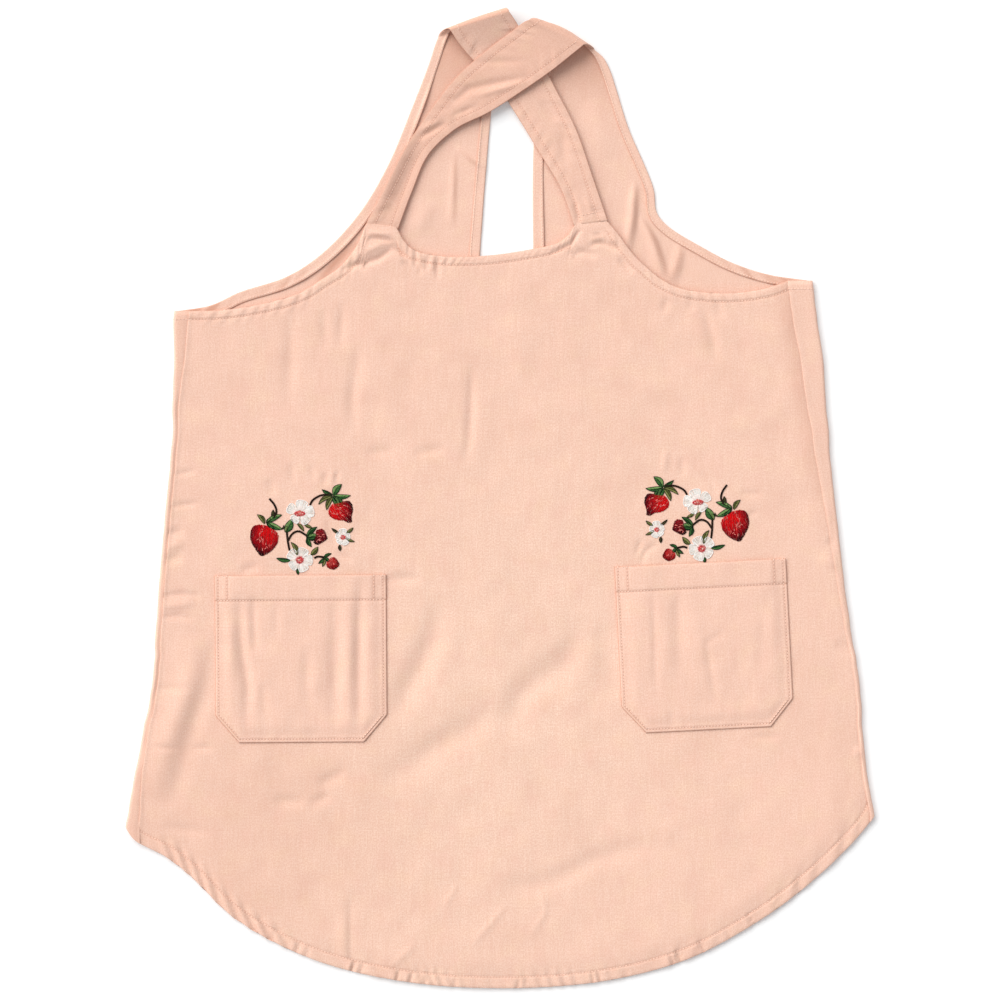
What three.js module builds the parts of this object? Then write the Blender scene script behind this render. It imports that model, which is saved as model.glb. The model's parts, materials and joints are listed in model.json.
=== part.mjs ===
// Cross-back apron of peach cotton, lying flat with its front up.
// Millimetres, +Z up, +Y towards the shoulders, origin on the table under the middle of the apron.
// Left and right are those of a viewer who looks down at the front.

import * as THREE from "three";

// Cloth
const CLOTH = 1.0; // wall of a single layer
const HEM_WALL = 1.6; // wall where an edge is turned in and stitched down
const SEAM_GAP = 0.3; // clearance between pieces that are sewn to each other
const FRONT_TOP = 5.0; // outer face of the front over the table
const SIDE_RADIUS = FRONT_TOP / 2; // of the fold at each side
const NARROW_HEM = 9.5; // turned edge of the neck, armholes, straps and back edges
const BOTTOM_HEM = 14; // turned edge along the bottom
const HEM_STEP = 0.6; // run over which the turned layer ends
const BACK_HEM_RISE = 7; // how much higher the back hangs than the front at its centre edges
const PEACH = { color: 0xf3c9b1, roughness: 0.92, metalness: 0 };

// Grid steps
const BODY_STEPS = 13; // up the body, between the hems
const ARMHOLE_STEPS = 11; // along a front armhole
const HORN_STEPS = 2; // across the top of a horn
const NECK_STEPS = 16; // along the neckline
const ACROSS_STEPS = 4; // across a back panel or strap, between the hems
const SIDE_ARC_STEPS = 5; // round the fold at a side
const BACK_STEPS = 18; // up a back armhole
const SHOULDER_ARC_STEPS = 7; // round the fold at a shoulder
const STRAP_STEPS = 26; // down a front strap
const HEM_SAMPLES = 200; // fine points that give the bottom hem line at any place

// Pockets
const POCKET_WIDTH = 158;
const POCKET_HEIGHT = 154;
const POCKET_HEM = 23;
const POCKET_CORNER_WIDTH = 21.5;
const POCKET_CORNER_HEIGHT = 25;
const POCKET_FULLNESS = 1.8; // how far the cloth stands off at the mouth
const POCKET_SIDE_POWER = 4; // how sharply it comes down to its sewn sides
const POCKET_COLUMNS = 16;
const POCKET_ROWS = 7;

// Rows of numbers under named columns
function table(columns, rows) {
  const names = columns.split(" ");
  return rows.map((row) => Object.fromEntries(names.map((name, k) => [name, row[k]])));
}

// Pocket places: the middle of the pocket and its turn in degrees
const POCKETS = {
  left: { x: -183, y: -147, turn: 0.4 },
  right: { x: 188, y: -135.5, turn: 2.9 },
};

// Soft vertical folds of a pocket, measured from its middle line
const POCKET_FOLDS = table("x width height", [
  [-59, 9, 0.9],
  [-20, 14, 0.4],
  [21, 8, 0.8],
  [45, 7, 0.9],
]);

// Sides, from the underarm down: the fold, and how far inside it the side seam lies on the front
const SIDES = {
  left: table("x y seamIn", [
    [-300, 173, 14],
    [-301.5, 84, 5],
    [-302.5, 45, 4.5],
    [-310, -28, 4.5],
    [-315, -93, 4.5],
    [-321, -170, 4.5],
    [-333, -240, 5],
    [-345, -302, 11.5],
  ]),
  right: table("x y seamIn", [
    [288, 201, 23.5],
    [297, 128, 21],
    [303, 54, 15],
    [310, -19, 9.5],
    [319, -93, 6],
    [330, -167, 4.5],
    [337, -240, 4.5],
    [345, -292, 4.5],
  ]),
};

// Edges of the front, each from left to right
const HEM_EDGE = table("x y", [
  [-345, -302],
  [-336, -314],
  [-305, -331],
  [-283, -349],
  [-243, -387],
  [-172, -424],
  [-90, -444],
  [0, -450.5],
  [95, -444],
  [172, -424],
  [236, -390],
  [284, -355],
  [326, -315],
  [345, -292],
]);
const ARMHOLE_LEFT = table("x y", [
  [-286, 173],
  [-255, 174],
  [-217, 180],
  [-186, 189],
  [-165, 201.5],
  [-147, 214],
  [-132, 233],
  [-124, 252],
]);
const NECK_EDGE = table("x y", [
  [-94, 248],
  [-89, 239],
  [-81, 230.5],
  [-61, 224.5],
  [-19, 223.5],
  [30, 230],
  [52, 235.5],
  [62, 242],
  [68, 251],
]);
const ARMHOLE_RIGHT = table("x y", [
  [99.5, 255],
  [108, 245],
  [123, 225],
  [137, 211.5],
  [150, 201.5],
  [166, 194],
  [198, 189.5],
  [229, 191],
  [250, 195.5],
  [264.5, 201],
]);

// Back panels, each cut in one with its strap
// backEdge and armhole run up from the body to the shoulder, and the crease is the fold at the shoulder
// strap runs from the seam at the horn up to the shoulder, and top is the height of its outer face
const BACKS = {
  left: {
    outward: -1,
    backEdge: table("x y", [
      [-44, -450],
      [-27, 60],
      [-18.5, 224],
      [-8, 357],
    ]),
    armhole: table("x y", [
      [-266, 178.5],
      [-240, 190.5],
      [-196, 205],
      [-163, 227],
      [-129, 264],
      [-103, 308],
      [-80, 363],
      [-65, 402],
      [-59.5, 419],
    ]),
    crease: { backX: 4, backY: 451, armX: -55, armY: 430, radius: 4 },
    strap: table("outerX outerY neckX neckY top", [
      [99.5, 255, 68, 251, 5],
      [84.5, 299, 56, 285, 5],
      [70, 340.5, 33, 324, 4.8],
      [51.5, 377, 10, 361.5, 4.8],
      [37, 404, -6.5, 387, 5],
      [20, 430, -26, 410, 6.8],
    ]),
  },
  right: {
    outward: 1,
    backEdge: table("x y", [
      [42, -450],
      [33, 60],
      [30.5, 230],
      [31, 328],
    ]),
    armhole: table("x y", [
      [246, 207],
      [213, 218],
      [187, 231.5],
      [154, 252],
      [144.5, 264],
      [141.5, 286],
      [118, 343],
      [108, 375],
      [101, 396],
      [95, 407],
    ]),
    crease: { backX: 35.5, backY: 443, armX: 83, armY: 417, radius: 5.2 },
    strap: table("outerX outerY neckX neckY top", [
      [-124, 252, -94, 248, 5],
      [-103, 292.5, -81, 282.5, 5],
      [-84.5, 327.5, -66, 316.5, 5],
      [-64.5, 357, -40.5, 340.5, 5.8],
      [-41.5, 386.5, -11, 355, 7.8],
      [-14, 411, 18.5, 373.5, 9.2],
      [12, 430.5, 49, 394.5, 9.8],
    ]),
  },
};

// Soft folds of the front, each a straight ridge or dent that fades at both ends
const FRONT_FOLDS = table("x1 y1 x2 y2 width height", [
  [-272, -118, -312, -286, 15, -1.3],
  [-70, 150, -92, -60, 16, 1.1],
  [-38, 150, -62, -40, 14, -0.8],
  [44, 120, 60, -150, 20, 0.9],
  [46, -349, 172, -310, 17, 1.6],
  [-146, -330, -142, -440, 13, 1.5],
  [-10, -240, -36, -400, 22, 1.0],
  [236, -240, 290, -300, 14, 1.2],
  [170, 150, 250, 40, 22, 1.0],
  [-240, 120, -180, 20, 22, 0.9],
]);

const mix = THREE.MathUtils.lerp;

// A smooth edge through the rows of a table
function edge(rows, height = 0) {
  return new THREE.CatmullRomCurve3(rows.map(({ x, y }) => new THREE.Vector3(x, y, height)));
}

// The value of a column where another column, which rises or falls steadily, has a given value
function lookUp(rows, known, value, column) {
  const order = [...rows].sort((a, b) => a[known] - b[known]);
  if (value <= order[0][known]) return order[0][column];
  const next = order.findIndex((row) => row[known] >= value);
  if (next < 0) return order.at(-1)[column];
  const share = (value - order[next - 1][known]) / (order[next][known] - order[next - 1][known]);
  return mix(order[next - 1][column], order[next][column], share);
}

// Distances along a length, with a pair of close lines where each hem ends
function stations(length, startHem, endHem, steps) {
  const from = startHem + HEM_STEP;
  const to = length - endHem - HEM_STEP;
  const inner = Array.from({ length: steps + 1 }, (_, k) => mix(from, to, k / steps));
  return [0, startHem, ...inner, length - endHem, length];
}

// Height of the outer face of the front
function frontHeight(x, y) {
  let height = FRONT_TOP;
  for (const fold of FRONT_FOLDS) {
    const run = new THREE.Vector2(fold.x2 - fold.x1, fold.y2 - fold.y1);
    const away = new THREE.Vector2(x - fold.x1, y - fold.y1);
    const along = away.dot(run) / run.lengthSq();
    if (along <= 0 || along >= 1) continue;
    const aside = away.cross(run) / run.length() / fold.width;
    height += fold.height * Math.sin(Math.PI * along) ** 2 * Math.exp(-aside * aside);
  }
  return height;
}

const hemPoints = edge(HEM_EDGE).getSpacedPoints(HEM_SAMPLES);

// Height of the bottom hem line at a given x
function hemLine(x) {
  return lookUp(hemPoints, "x", x, "y");
}

// The side seam on the front at a given y
function seamLine(side, y) {
  const inward = side === "left" ? 1 : -1;
  return lookUp(SIDES[side], "y", y, "x") + inward * lookUp(SIDES[side], "y", y, "seamIn");
}

// A closed wall of cloth from a grid of points on its outer face
// facing is 1 where columns run right and rows run up as seen from outside, and -1 where they are mirrored
function clothWall(name, face, wallAt, facing) {
  const at = (row, column) => face[row]?.[column];
  const corners = [];
  const number = new Map();
  face.forEach((points, row) =>
    points.forEach((point, column) => {
      const across = (at(row, column + 1) ?? point).clone().sub(at(row, column - 1) ?? point);
      const up = (at(row + 1, column) ?? point).clone().sub(at(row - 1, column) ?? point);
      const outward = across.cross(up).normalize().multiplyScalar(facing);
      const inside = point.clone().addScaledVector(outward, -wallAt(row, column));
      number.set(`${row},${column}`, corners.length / 3);
      corners.push(...point.toArray(), ...inside.toArray());
    }),
  );
  const triangles = [];
  const triangle = (a, b, c) => triangles.push(...(facing > 0 ? [a, b, c] : [a, c, b]));
  const pair = (row, column) => at(row, column) && at(row, column + 1);
  const cell = (row, column) => pair(row, column) && pair(row + 1, column);
  face.forEach((points, row) =>
    points.forEach((_, column) => {
      if (!cell(row, column)) return;
      const [a, b, c, d] = [
        [row, column],
        [row, column + 1],
        [row + 1, column + 1],
        [row + 1, column],
      ].map((spot) => number.get(spot.join()));
      triangle(a, b, c);
      triangle(a, c, d);
      triangle(a + 1, c + 1, b + 1);
      triangle(a + 1, d + 1, c + 1);
      const sides = [
        [cell(row - 1, column), a, b],
        [cell(row, column + 1), b, c],
        [cell(row + 1, column), c, d],
        [cell(row, column - 1), d, a],
      ];
      for (const [neighbour, from, to] of sides) {
        if (neighbour) continue;
        triangle(to, from, from + 1);
        triangle(to, from + 1, to + 1);
      }
    }),
  );
  const geometry = new THREE.BufferGeometry();
  geometry.setAttribute("position", new THREE.Float32BufferAttribute(corners, 3));
  geometry.setIndex(triangles);
  geometry.computeVertexNormals();
  const mesh = new THREE.Mesh(geometry, new THREE.MeshStandardMaterial(PEACH));
  mesh.name = name;
  return mesh;
}

// The front: columns from the bottom hem up to the armholes, horns and neckline
function frontPanel() {
  const hornLeft = edge([ARMHOLE_LEFT.at(-1), NECK_EDGE[0]]);
  const hornRight = edge([NECK_EDGE.at(-1), ARMHOLE_RIGHT[0]]);
  const top = [
    ...edge(ARMHOLE_LEFT).getSpacedPoints(ARMHOLE_STEPS),
    ...hornLeft.getSpacedPoints(HORN_STEPS).slice(1),
    ...edge(NECK_EDGE).getSpacedPoints(NECK_STEPS).slice(1),
    ...hornRight.getSpacedPoints(HORN_STEPS).slice(1),
    ...edge(ARMHOLE_RIGHT).getSpacedPoints(ARMHOLE_STEPS).slice(1),
  ];
  const acrossAt = (share, y) => {
    const from = seamLine("left", y) + SEAM_GAP / 2;
    const to = seamLine("right", y) - SEAM_GAP / 2;
    return mix(from, to, share);
  };
  const columns = top.map(({ x, y }) => {
    const share = (x - seamLine("left", y)) / (seamLine("right", y) - seamLine("left", y));
    const low = hemLine(acrossAt(share, HEM_EDGE[0].y));
    return stations(y - low, BOTTOM_HEM, NARROW_HEM, BODY_STEPS).map((rise) => {
      const spotX = acrossAt(share, low + rise);
      return new THREE.Vector3(spotX, low + rise, frontHeight(spotX, low + rise));
    });
  });
  const rows = columns[0].length;
  const face = Array.from({ length: rows }, (_, row) => columns.map((column) => column[row]));
  const hornAt = (column) => {
    const fromEnd = Math.min(column, top.length - 1 - column);
    return fromEnd > ARMHOLE_STEPS && fromEnd < ARMHOLE_STEPS + HORN_STEPS;
  };
  const wallAt = (row, column) => {
    const hemmed = row < 2 || (row > rows - 3 && !hornAt(column));
    return hemmed ? HEM_WALL : CLOTH;
  };
  return clothWall("front_panel", face, wallAt, 1);
}

// A line of points across a back panel or strap, between its two edges
function ruling(from, to) {
  const length = from.distanceTo(to);
  return stations(length, NARROW_HEM, NARROW_HEM, ACROSS_STEPS).map((distance) =>
    from.clone().lerp(to, distance / length),
  );
}

// The outer face of a back panel at a given y, where its side starts to fold up
function foldStart(side, y) {
  return lookUp(SIDES[side], "y", y, "x") - BACKS[side].outward * SIDE_RADIUS;
}

// The fold at a shoulder: points on its back edge and its armhole edge, at an angle round the fold
function shoulderFold(side) {
  const { outward, crease } = BACKS[side];
  const back = new THREE.Vector3(crease.backX, crease.backY, 0);
  const arm = new THREE.Vector3(crease.armX, crease.armY, 0);
  const over = arm.clone().sub(back).cross(new THREE.Vector3(0, 0, -outward));
  over.setLength(crease.radius);
  const round = (point, angle) => {
    const spot = point.clone().addScaledVector(over, Math.sin(angle) - 1);
    return spot.setZ(crease.radius * (1 - Math.cos(angle)));
  };
  return { back: (angle) => round(back, angle), arm: (angle) => round(arm, angle) };
}

// Lines across the upper back, from the underarm up to the start of the shoulder fold
function upperBack(side) {
  const { backEdge, armhole } = BACKS[side];
  const fold = shoulderFold(side);
  const underarm = SIDES[side][0].y;
  const backStart = { x: lookUp(backEdge, "y", underarm, "x"), y: underarm };
  const armStart = { x: foldStart(side, underarm), y: underarm };
  const above = backEdge.filter(({ y }) => y > underarm);
  const backSpots = edge([backStart, ...above, fold.back(0)]).getSpacedPoints(BACK_STEPS);
  const armSpots = edge([armStart, ...armhole, fold.arm(0)]).getSpacedPoints(BACK_STEPS);
  return backSpots.map((spot, k) => ruling(spot, armSpots[k]));
}

// A back panel: up the body and over the side, then up the armhole nearly to the shoulder
function backPanel(side) {
  const { outward, backEdge } = BACKS[side];
  const underarm = SIDES[side][0].y;

  // Flat columns of the body, then the ones round the side fold and on to the seam
  const backAt = (y) => lookUp(backEdge, "y", y, "x");
  const flatAt = (share) => (y) => new THREE.Vector3(mix(backAt(y), foldStart(side, y), share), y, 0);
  const arcAt = (angle) => (y) => {
    const x = foldStart(side, y) + outward * SIDE_RADIUS * Math.sin(angle);
    return new THREE.Vector3(x, y, SIDE_RADIUS * (1 - Math.cos(angle)));
  };
  const seamAt = (y) => {
    const x = seamLine(side, y) + (outward * SEAM_GAP) / 2;
    return new THREE.Vector3(x, y, frontHeight(x, y));
  };
  const bodyWidth = Math.abs(foldStart(side, underarm) - backAt(underarm));
  const bodyStations = stations(bodyWidth, NARROW_HEM, NARROW_HEM, ACROSS_STEPS);
  const shares = bodyStations.map((distance) => distance / bodyWidth);
  const lastFlat = shares.length - 1;
  const arcs = Array.from({ length: SIDE_ARC_STEPS }, (_, k) => (Math.PI * (k + 1)) / SIDE_ARC_STEPS);
  const makers = [...shares.map(flatAt), ...arcs.map(arcAt), seamAt];
  const columns = makers.map((pointAt, column) => {
    const rise = column < lastFlat ? BACK_HEM_RISE * (1 - shares[column]) : 0;
    const low = hemLine(pointAt(SIDES[side].at(-1).y).x) + rise;
    return stations(underarm - low, BOTTOM_HEM, NARROW_HEM, BODY_STEPS).map((up) => pointAt(low + up));
  });
  const bodyRows = columns[0].length;
  const face = Array.from({ length: bodyRows }, (_, row) => columns.map((column) => column[row]));
  face.push(...upperBack(side).slice(1, -1));

  const wallAt = (row, column) => {
    const armholeHem = column > lastFlat - 2 && column <= lastFlat && row >= bodyRows - 1;
    const underarmHem = column >= lastFlat && row >= bodyRows - 2;
    return row < 2 || column < 2 || armholeHem || underarmHem ? HEM_WALL : CLOTH;
  };
  return clothWall(`back_panel_${side}`, face, wallAt, -outward);
}

// The strap that carries on from a back panel: round the shoulder, then down the front to the horn
function frontStrap(side) {
  const { outward, strap } = BACKS[side];
  const fold = shoulderFold(side);
  const [lead, foldRow] = upperBack(side).slice(-2);
  lead.forEach((point, k) => point.lerp(foldRow[k], SEAM_GAP / point.distanceTo(foldRow[k])));
  const face = [lead, foldRow];
  for (let k = 1; k <= SHOULDER_ARC_STEPS; k += 1) {
    const angle = (Math.PI * k) / SHOULDER_ARC_STEPS;
    face.push(ruling(fold.back(angle), fold.arm(angle)));
  }
  const strapEdge = (x, y, first) => {
    const spots = strap.toReversed().map((row) => new THREE.Vector3(row[x], row[y], row.top));
    return new THREE.CatmullRomCurve3([first, ...spots]);
  };
  const outerCurve = strapEdge("outerX", "outerY", fold.back(Math.PI));
  const neckCurve = strapEdge("neckX", "neckY", fold.arm(Math.PI));
  for (let k = 1; k <= STRAP_STEPS; k += 1) {
    face.push(ruling(outerCurve.getPoint(k / STRAP_STEPS), neckCurve.getPoint(k / STRAP_STEPS)));
  }
  face.at(-1).forEach((point) => (point.y += SEAM_GAP));
  const hemmed = (column) => Math.min(column, lead.length - 1 - column) < 2;
  return clothWall(`strap_${side}`, face, (_, column) => (hemmed(column) ? HEM_WALL : CLOTH), -outward);
}

// A patch pocket: sewn down along its sides and bottom, and open at its mouth
function pocket(side) {
  const { x, y, turn } = POCKETS[side];
  const angle = THREE.MathUtils.degToRad(turn);
  const straight = POCKET_HEIGHT - POCKET_CORNER_HEIGHT - POCKET_HEM - HEM_STEP;
  const upright = (_, k) => POCKET_CORNER_HEIGHT + straight * (k / POCKET_ROWS);
  const heights = [
    0,
    POCKET_CORNER_HEIGHT / 2,
    ...Array.from({ length: POCKET_ROWS + 1 }, upright),
    POCKET_HEIGHT - POCKET_HEM,
    POCKET_HEIGHT,
  ];
  const wallAt = (row) => (row > heights.length - 3 ? HEM_WALL : CLOTH);
  const face = heights.map((height, row) => {
    const cut = POCKET_CORNER_WIDTH * Math.max(0, 1 - height / POCKET_CORNER_HEIGHT);
    const half = POCKET_WIDTH / 2 - cut;
    return Array.from({ length: POCKET_COLUMNS + 1 }, (_, k) => {
      const across = mix(-half, half, k / POCKET_COLUMNS);
      const free = Math.sin((Math.PI / 2) * (height / POCKET_HEIGHT));
      const loose = free * (1 - Math.abs(across / half) ** POCKET_SIDE_POWER);
      const ripple = POCKET_FOLDS.reduce(
        (sum, fold) => sum + fold.height * Math.exp(-(((across - fold.x) / fold.width) ** 2)),
        POCKET_FULLNESS,
      );
      const up = height - POCKET_HEIGHT / 2;
      const spotX = x + across * Math.cos(angle) - up * Math.sin(angle);
      const spotY = y + across * Math.sin(angle) + up * Math.cos(angle);
      const lift = SEAM_GAP + wallAt(row) + loose * ripple;
      return new THREE.Vector3(spotX, spotY, frontHeight(spotX, spotY) + lift);
    });
  });
  return clothWall(`pocket_${side}`, face, wallAt, 1);
}

const apron = new THREE.Group();
apron.name = "cross_back_apron";
apron.add(frontPanel());
for (const side of ["left", "right"]) {
  apron.add(backPanel(side), frontStrap(side), pocket(side));
}

export default apron;
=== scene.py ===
# %% [markdown]
# # A cross-back apron, sewn and embroidered in Blender
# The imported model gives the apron's solids: a front, two back panels with their straps, and two pockets,
# lying flat with the front up. Real cotton is thinner and livelier than those walls. This lesson lays new
# cloth on the same outline, puckers it along its hems, sews it with thread, and embroiders two sprigs of
# strawberries.

# %% Load the frame
import json
import bpy
import numpy as np
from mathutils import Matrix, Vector

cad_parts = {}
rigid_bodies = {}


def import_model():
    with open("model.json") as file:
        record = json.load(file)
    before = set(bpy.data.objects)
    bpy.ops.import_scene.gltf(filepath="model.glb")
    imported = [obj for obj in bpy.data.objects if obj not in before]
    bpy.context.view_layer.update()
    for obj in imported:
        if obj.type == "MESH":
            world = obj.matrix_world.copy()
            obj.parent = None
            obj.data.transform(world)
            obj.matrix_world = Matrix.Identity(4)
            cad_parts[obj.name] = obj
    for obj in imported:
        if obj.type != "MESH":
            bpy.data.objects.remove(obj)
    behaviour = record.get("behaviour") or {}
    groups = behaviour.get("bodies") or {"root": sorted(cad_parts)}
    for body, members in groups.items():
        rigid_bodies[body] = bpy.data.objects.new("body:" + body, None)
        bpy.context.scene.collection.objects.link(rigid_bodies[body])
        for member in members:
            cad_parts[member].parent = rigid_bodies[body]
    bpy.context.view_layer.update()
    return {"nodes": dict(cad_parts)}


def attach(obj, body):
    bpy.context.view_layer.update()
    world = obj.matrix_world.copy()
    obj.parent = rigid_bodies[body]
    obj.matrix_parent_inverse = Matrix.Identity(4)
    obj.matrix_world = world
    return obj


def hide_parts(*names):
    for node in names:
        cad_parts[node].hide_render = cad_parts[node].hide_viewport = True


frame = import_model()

MM = 0.001
UNIT = 0.92  # one unit of the fold and sprig tables, in mm
print("solids to dress:", sorted(frame["nodes"]))

# %% [markdown]
# ## The cutting pattern
# A tailor starts from a pattern, and so does this script. Each table holds an outline of the laid apron in
# millimetres: x to the right, y towards the shoulders, z up from the table. Smooth curves run through the
# rows, so a handful of points is enough for an armhole.

# %% Outlines of the front
SIDE_COLUMNS = ("x", "y", "seam_in")
SIDES = {
    "left": [(-300, 173, 14), (-301.5, 84, 5), (-302.5, 45, 4.5), (-310, -28, 4.5), (-315, -93, 4.5),
             (-321, -170, 4.5), (-333, -240, 5), (-345, -302, 11.5)],
    "right": [(288, 201, 23.5), (297, 128, 21), (303, 54, 15), (310, -19, 9.5), (319, -93, 6), (330, -167, 4.5),
              (337, -240, 4.5), (345, -292, 4.5)],
}
HEM_EDGE = [(-345, -302), (-336, -314), (-305, -331), (-283, -349), (-243, -387), (-172, -424), (-90, -444),
            (0, -450.5), (95, -444), (172, -424), (236, -390), (284, -355), (326, -315), (345, -292)]
ARMHOLE_LEFT = [(-286, 173), (-255, 174), (-217, 180), (-186, 189), (-165, 201.5), (-147, 214), (-132, 233),
                (-124, 252)]
NECK_EDGE = [(-94, 248), (-89, 239), (-81, 230.5), (-61, 224.5), (-19, 223.5), (30, 230), (52, 235.5),
             (62, 242), (68, 251)]
ARMHOLE_RIGHT = [(99.5, 255), (108, 245), (123, 225), (137, 211.5), (150, 201.5), (166, 194), (198, 189.5),
                 (229, 191), (250, 195.5), (264.5, 201)]
print("pattern points of the front:", sum(map(len, (HEM_EDGE, ARMHOLE_LEFT, NECK_EDGE, ARMHOLE_RIGHT))))

# %% Outlines of the back panels and their straps
# strap columns: outer x, outer y, neck x, neck y, height of the outer face
BACKS = {
    "left": dict(
        outward=-1,
        back_edge=[(-44, -450), (-27, 60), (-18.5, 224), (-8, 357)],
        armhole=[(-266, 178.5), (-240, 190.5), (-196, 205), (-163, 227), (-129, 264), (-103, 308), (-80, 363),
                 (-65, 402), (-59.5, 419)],
        loop=dict(back=[(2, 443), (4, 451), (8.5, 447)], arm=[(-57, 425), (-52, 431.5), (-45.5, 430)], radius=7,
                  crown=1),
        strap=[(99.5, 255, 68, 251, 5), (84.5, 299, 56, 285, 5), (70, 340.5, 33, 324, 4.8),
               (51.5, 377, 10, 361.5, 4.8), (37, 404, -6.5, 387, 5), (20, 430, -27.5, 406.5, 7),
               (14, 439.5, -38, 419, 10.5)]),
    "right": dict(
        outward=1,
        back_edge=[(42, -450), (33, 60), (30.5, 230), (31, 328)],
        armhole=[(246, 207), (213, 218), (187, 231.5), (154, 252), (144.5, 264), (141.5, 286), (118, 343),
                 (108, 375), (101, 396), (95, 407)],
        loop=dict(back=[(41, 430), (37, 439.5), (26.5, 439)], arm=[(87.4, 413.5), (82.5, 417), (76.4, 416)],
                  radius=8, crown=4),
        strap=[(-124, 252, -94, 248, 5), (-103, 292.5, -81, 282.5, 5), (-84.5, 327.5, -66, 316.5, 5),
               (-64.5, 357, -40.5, 340.5, 5.8), (-41.5, 386.5, -11, 355, 7.8), (-14, 411, 18.5, 373.5, 9.4),
               (12, 430.5, 49, 394.5, 11.4), (22, 437.5, 65, 407, 14)]),
}
POCKETS = {"left": dict(x=-183, y=-147, turn=0.4), "right": dict(x=188, y=-135.5, turn=2.9)}
POCKET_WIDTH, POCKET_HEIGHT, POCKET_HEM = 158, 154, 23
POCKET_CORNER = dict(width=21.5, height=25)
print("sides, back panels and pockets:", list(SIDES), list(BACKS), list(POCKETS))


# %% Smooth curves through the pattern points
def smooth_at(points, t):
    """A curve through the points, where t counts them from 0 at the first."""
    p = np.asarray(points, float)
    p = np.vstack([2 * p[0] - p[1], p, 2 * p[-1] - p[-2]])
    k = np.clip(np.floor(t).astype(int), 0, len(points) - 2)
    q = [p[k + j] for j in range(4)]
    gap = [np.sqrt(np.linalg.norm(q[j + 1] - q[j], axis=1))[:, None] for j in range(3)]
    knot = [0 * gap[0], gap[0], gap[0] + gap[1], gap[0] + gap[1] + gap[2]]
    u = knot[1] + (t - k)[:, None] * gap[1]
    for reach in (1, 2):
        q = [((knot[j + reach] - u) * q[j] + (u - knot[j]) * q[j + 1]) / (knot[j + reach] - knot[j])
             for j in range(4 - reach)]
    return ((knot[2] - u) * q[0] + (u - knot[1]) * q[1]) / (knot[2] - knot[1])


def lengths(points):
    """Distance from the first point to each of the others, along the line."""
    return np.concatenate([[0], np.cumsum(np.linalg.norm(np.diff(points, axis=0), axis=1))])


def smooth_line(points, at):
    """Points of the smooth curve at the given shares of its length."""
    fine = smooth_at(points, np.linspace(0, len(points) - 1, 60 * len(points)))
    run = lengths(fine)
    return np.stack([np.interp(np.asarray(at) * run[-1], run, fine[:, k]) for k in range(fine.shape[1])], 1)


def even(count):
    return np.linspace(0, 1, count + 1)


hem_line = smooth_line(HEM_EDGE, even(600))
print("bottom hem, mm along its edge:", round(lengths(hem_line)[-1]))


# %% [markdown]
# ## Wrinkles
# Cloth never lies quite flat. Three kinds of height make up its relief here: long soft folds and short
# creases, each a row of a table; small random waves from a seeded grid of numbers, the same on every run;
# and puckers, which cross a sewn edge where the thread has drawn the cloth together.

# %% Helpers for relief
def mix(a, b, share):
    return a + (b - a) * share


def ease(value, start, end):
    """Smooth step from 0 at start to 1 at end."""
    t = np.clip((value - start) / (end - start), 0, 1)
    return t * t * (3 - 2 * t)


def bump(distance, width):
    return np.exp(-((distance / width) ** 2))


def wander(x, y, size, seed):
    """Smooth random height between -1 and 1, with bumps about size apart."""
    cells = 64
    grid = np.random.default_rng(seed).uniform(-1, 1, (cells, cells))
    u, v = np.broadcast_arrays(np.asarray(x, float) / size, np.asarray(y, float) / size)
    i, j = np.floor(u).astype(int), np.floor(v).astype(int)
    f, g = ease(u - i, 0, 1), ease(v - j, 0, 1)
    pick = lambda a, b: grid[(i + a) % cells, (j + b) % cells]
    return mix(mix(pick(0, 0), pick(1, 0), f), mix(pick(0, 1), pick(1, 1), f), g)


print("four heights of a wander:", wander(np.arange(4.0), 0, 2, 1).round(2).tolist())


# %% Folds and puckers
def folds(x, y, rows):
    """Ridges and dents along bent lines. A row is height, width, then points in pattern units."""
    height = np.zeros(np.shape(x))
    for rise, width, *points in rows:
        line = np.array(points, float) * UNIT
        low, high = line.min(0) - 3 * width, line.max(0) + 3 * width
        here = (x > low[0]) & (x < high[0]) & (y > low[1]) & (y < high[1])
        run = lengths(line)
        near, along = np.full(here.sum(), np.inf), np.zeros(here.sum())
        for k, step in enumerate(np.diff(line, axis=0)):
            dx, dy = x[here] - line[k, 0], y[here] - line[k, 1]
            t = np.clip((dx * step[0] + dy * step[1]) / (step @ step), 0, 1)
            gap = np.hypot(dx - t * step[0], dy - t * step[1])
            along = np.where(gap < near, (run[k] + t * np.hypot(*step)) / run[-1], along)
            near = np.minimum(near, gap)
        height[here] += rise * np.maximum(np.sin(np.pi * along), 0) ** 0.8 * bump(near, width)
    return height


def puckers(s, d, spacing, lean, seed):
    """Waves across a sewn edge: s runs along it, d away from it, and lean slants them."""
    run = s + lean * d
    turn = (run / spacing + 0.32 * wander(run, 0, 2.1 * spacing, seed)) % 1
    wave = ease(turn, 0, 0.7) - ease(turn, 0.74, 1) - 0.5
    return 2 * wave * np.clip(0.6 + 0.7 * wander(run, 9.5, 2.6 * spacing, seed + 1), 0, 1.2)


print("three heights along puckers:", np.round(puckers(np.array([0.0, 6.0, 12.0]), 0, 19, 0.9, 1), 2).tolist())


# %% Folds and creases of the front
FRONT_TOP, FOLD_DEPTH = 5.0, 1.2
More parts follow.
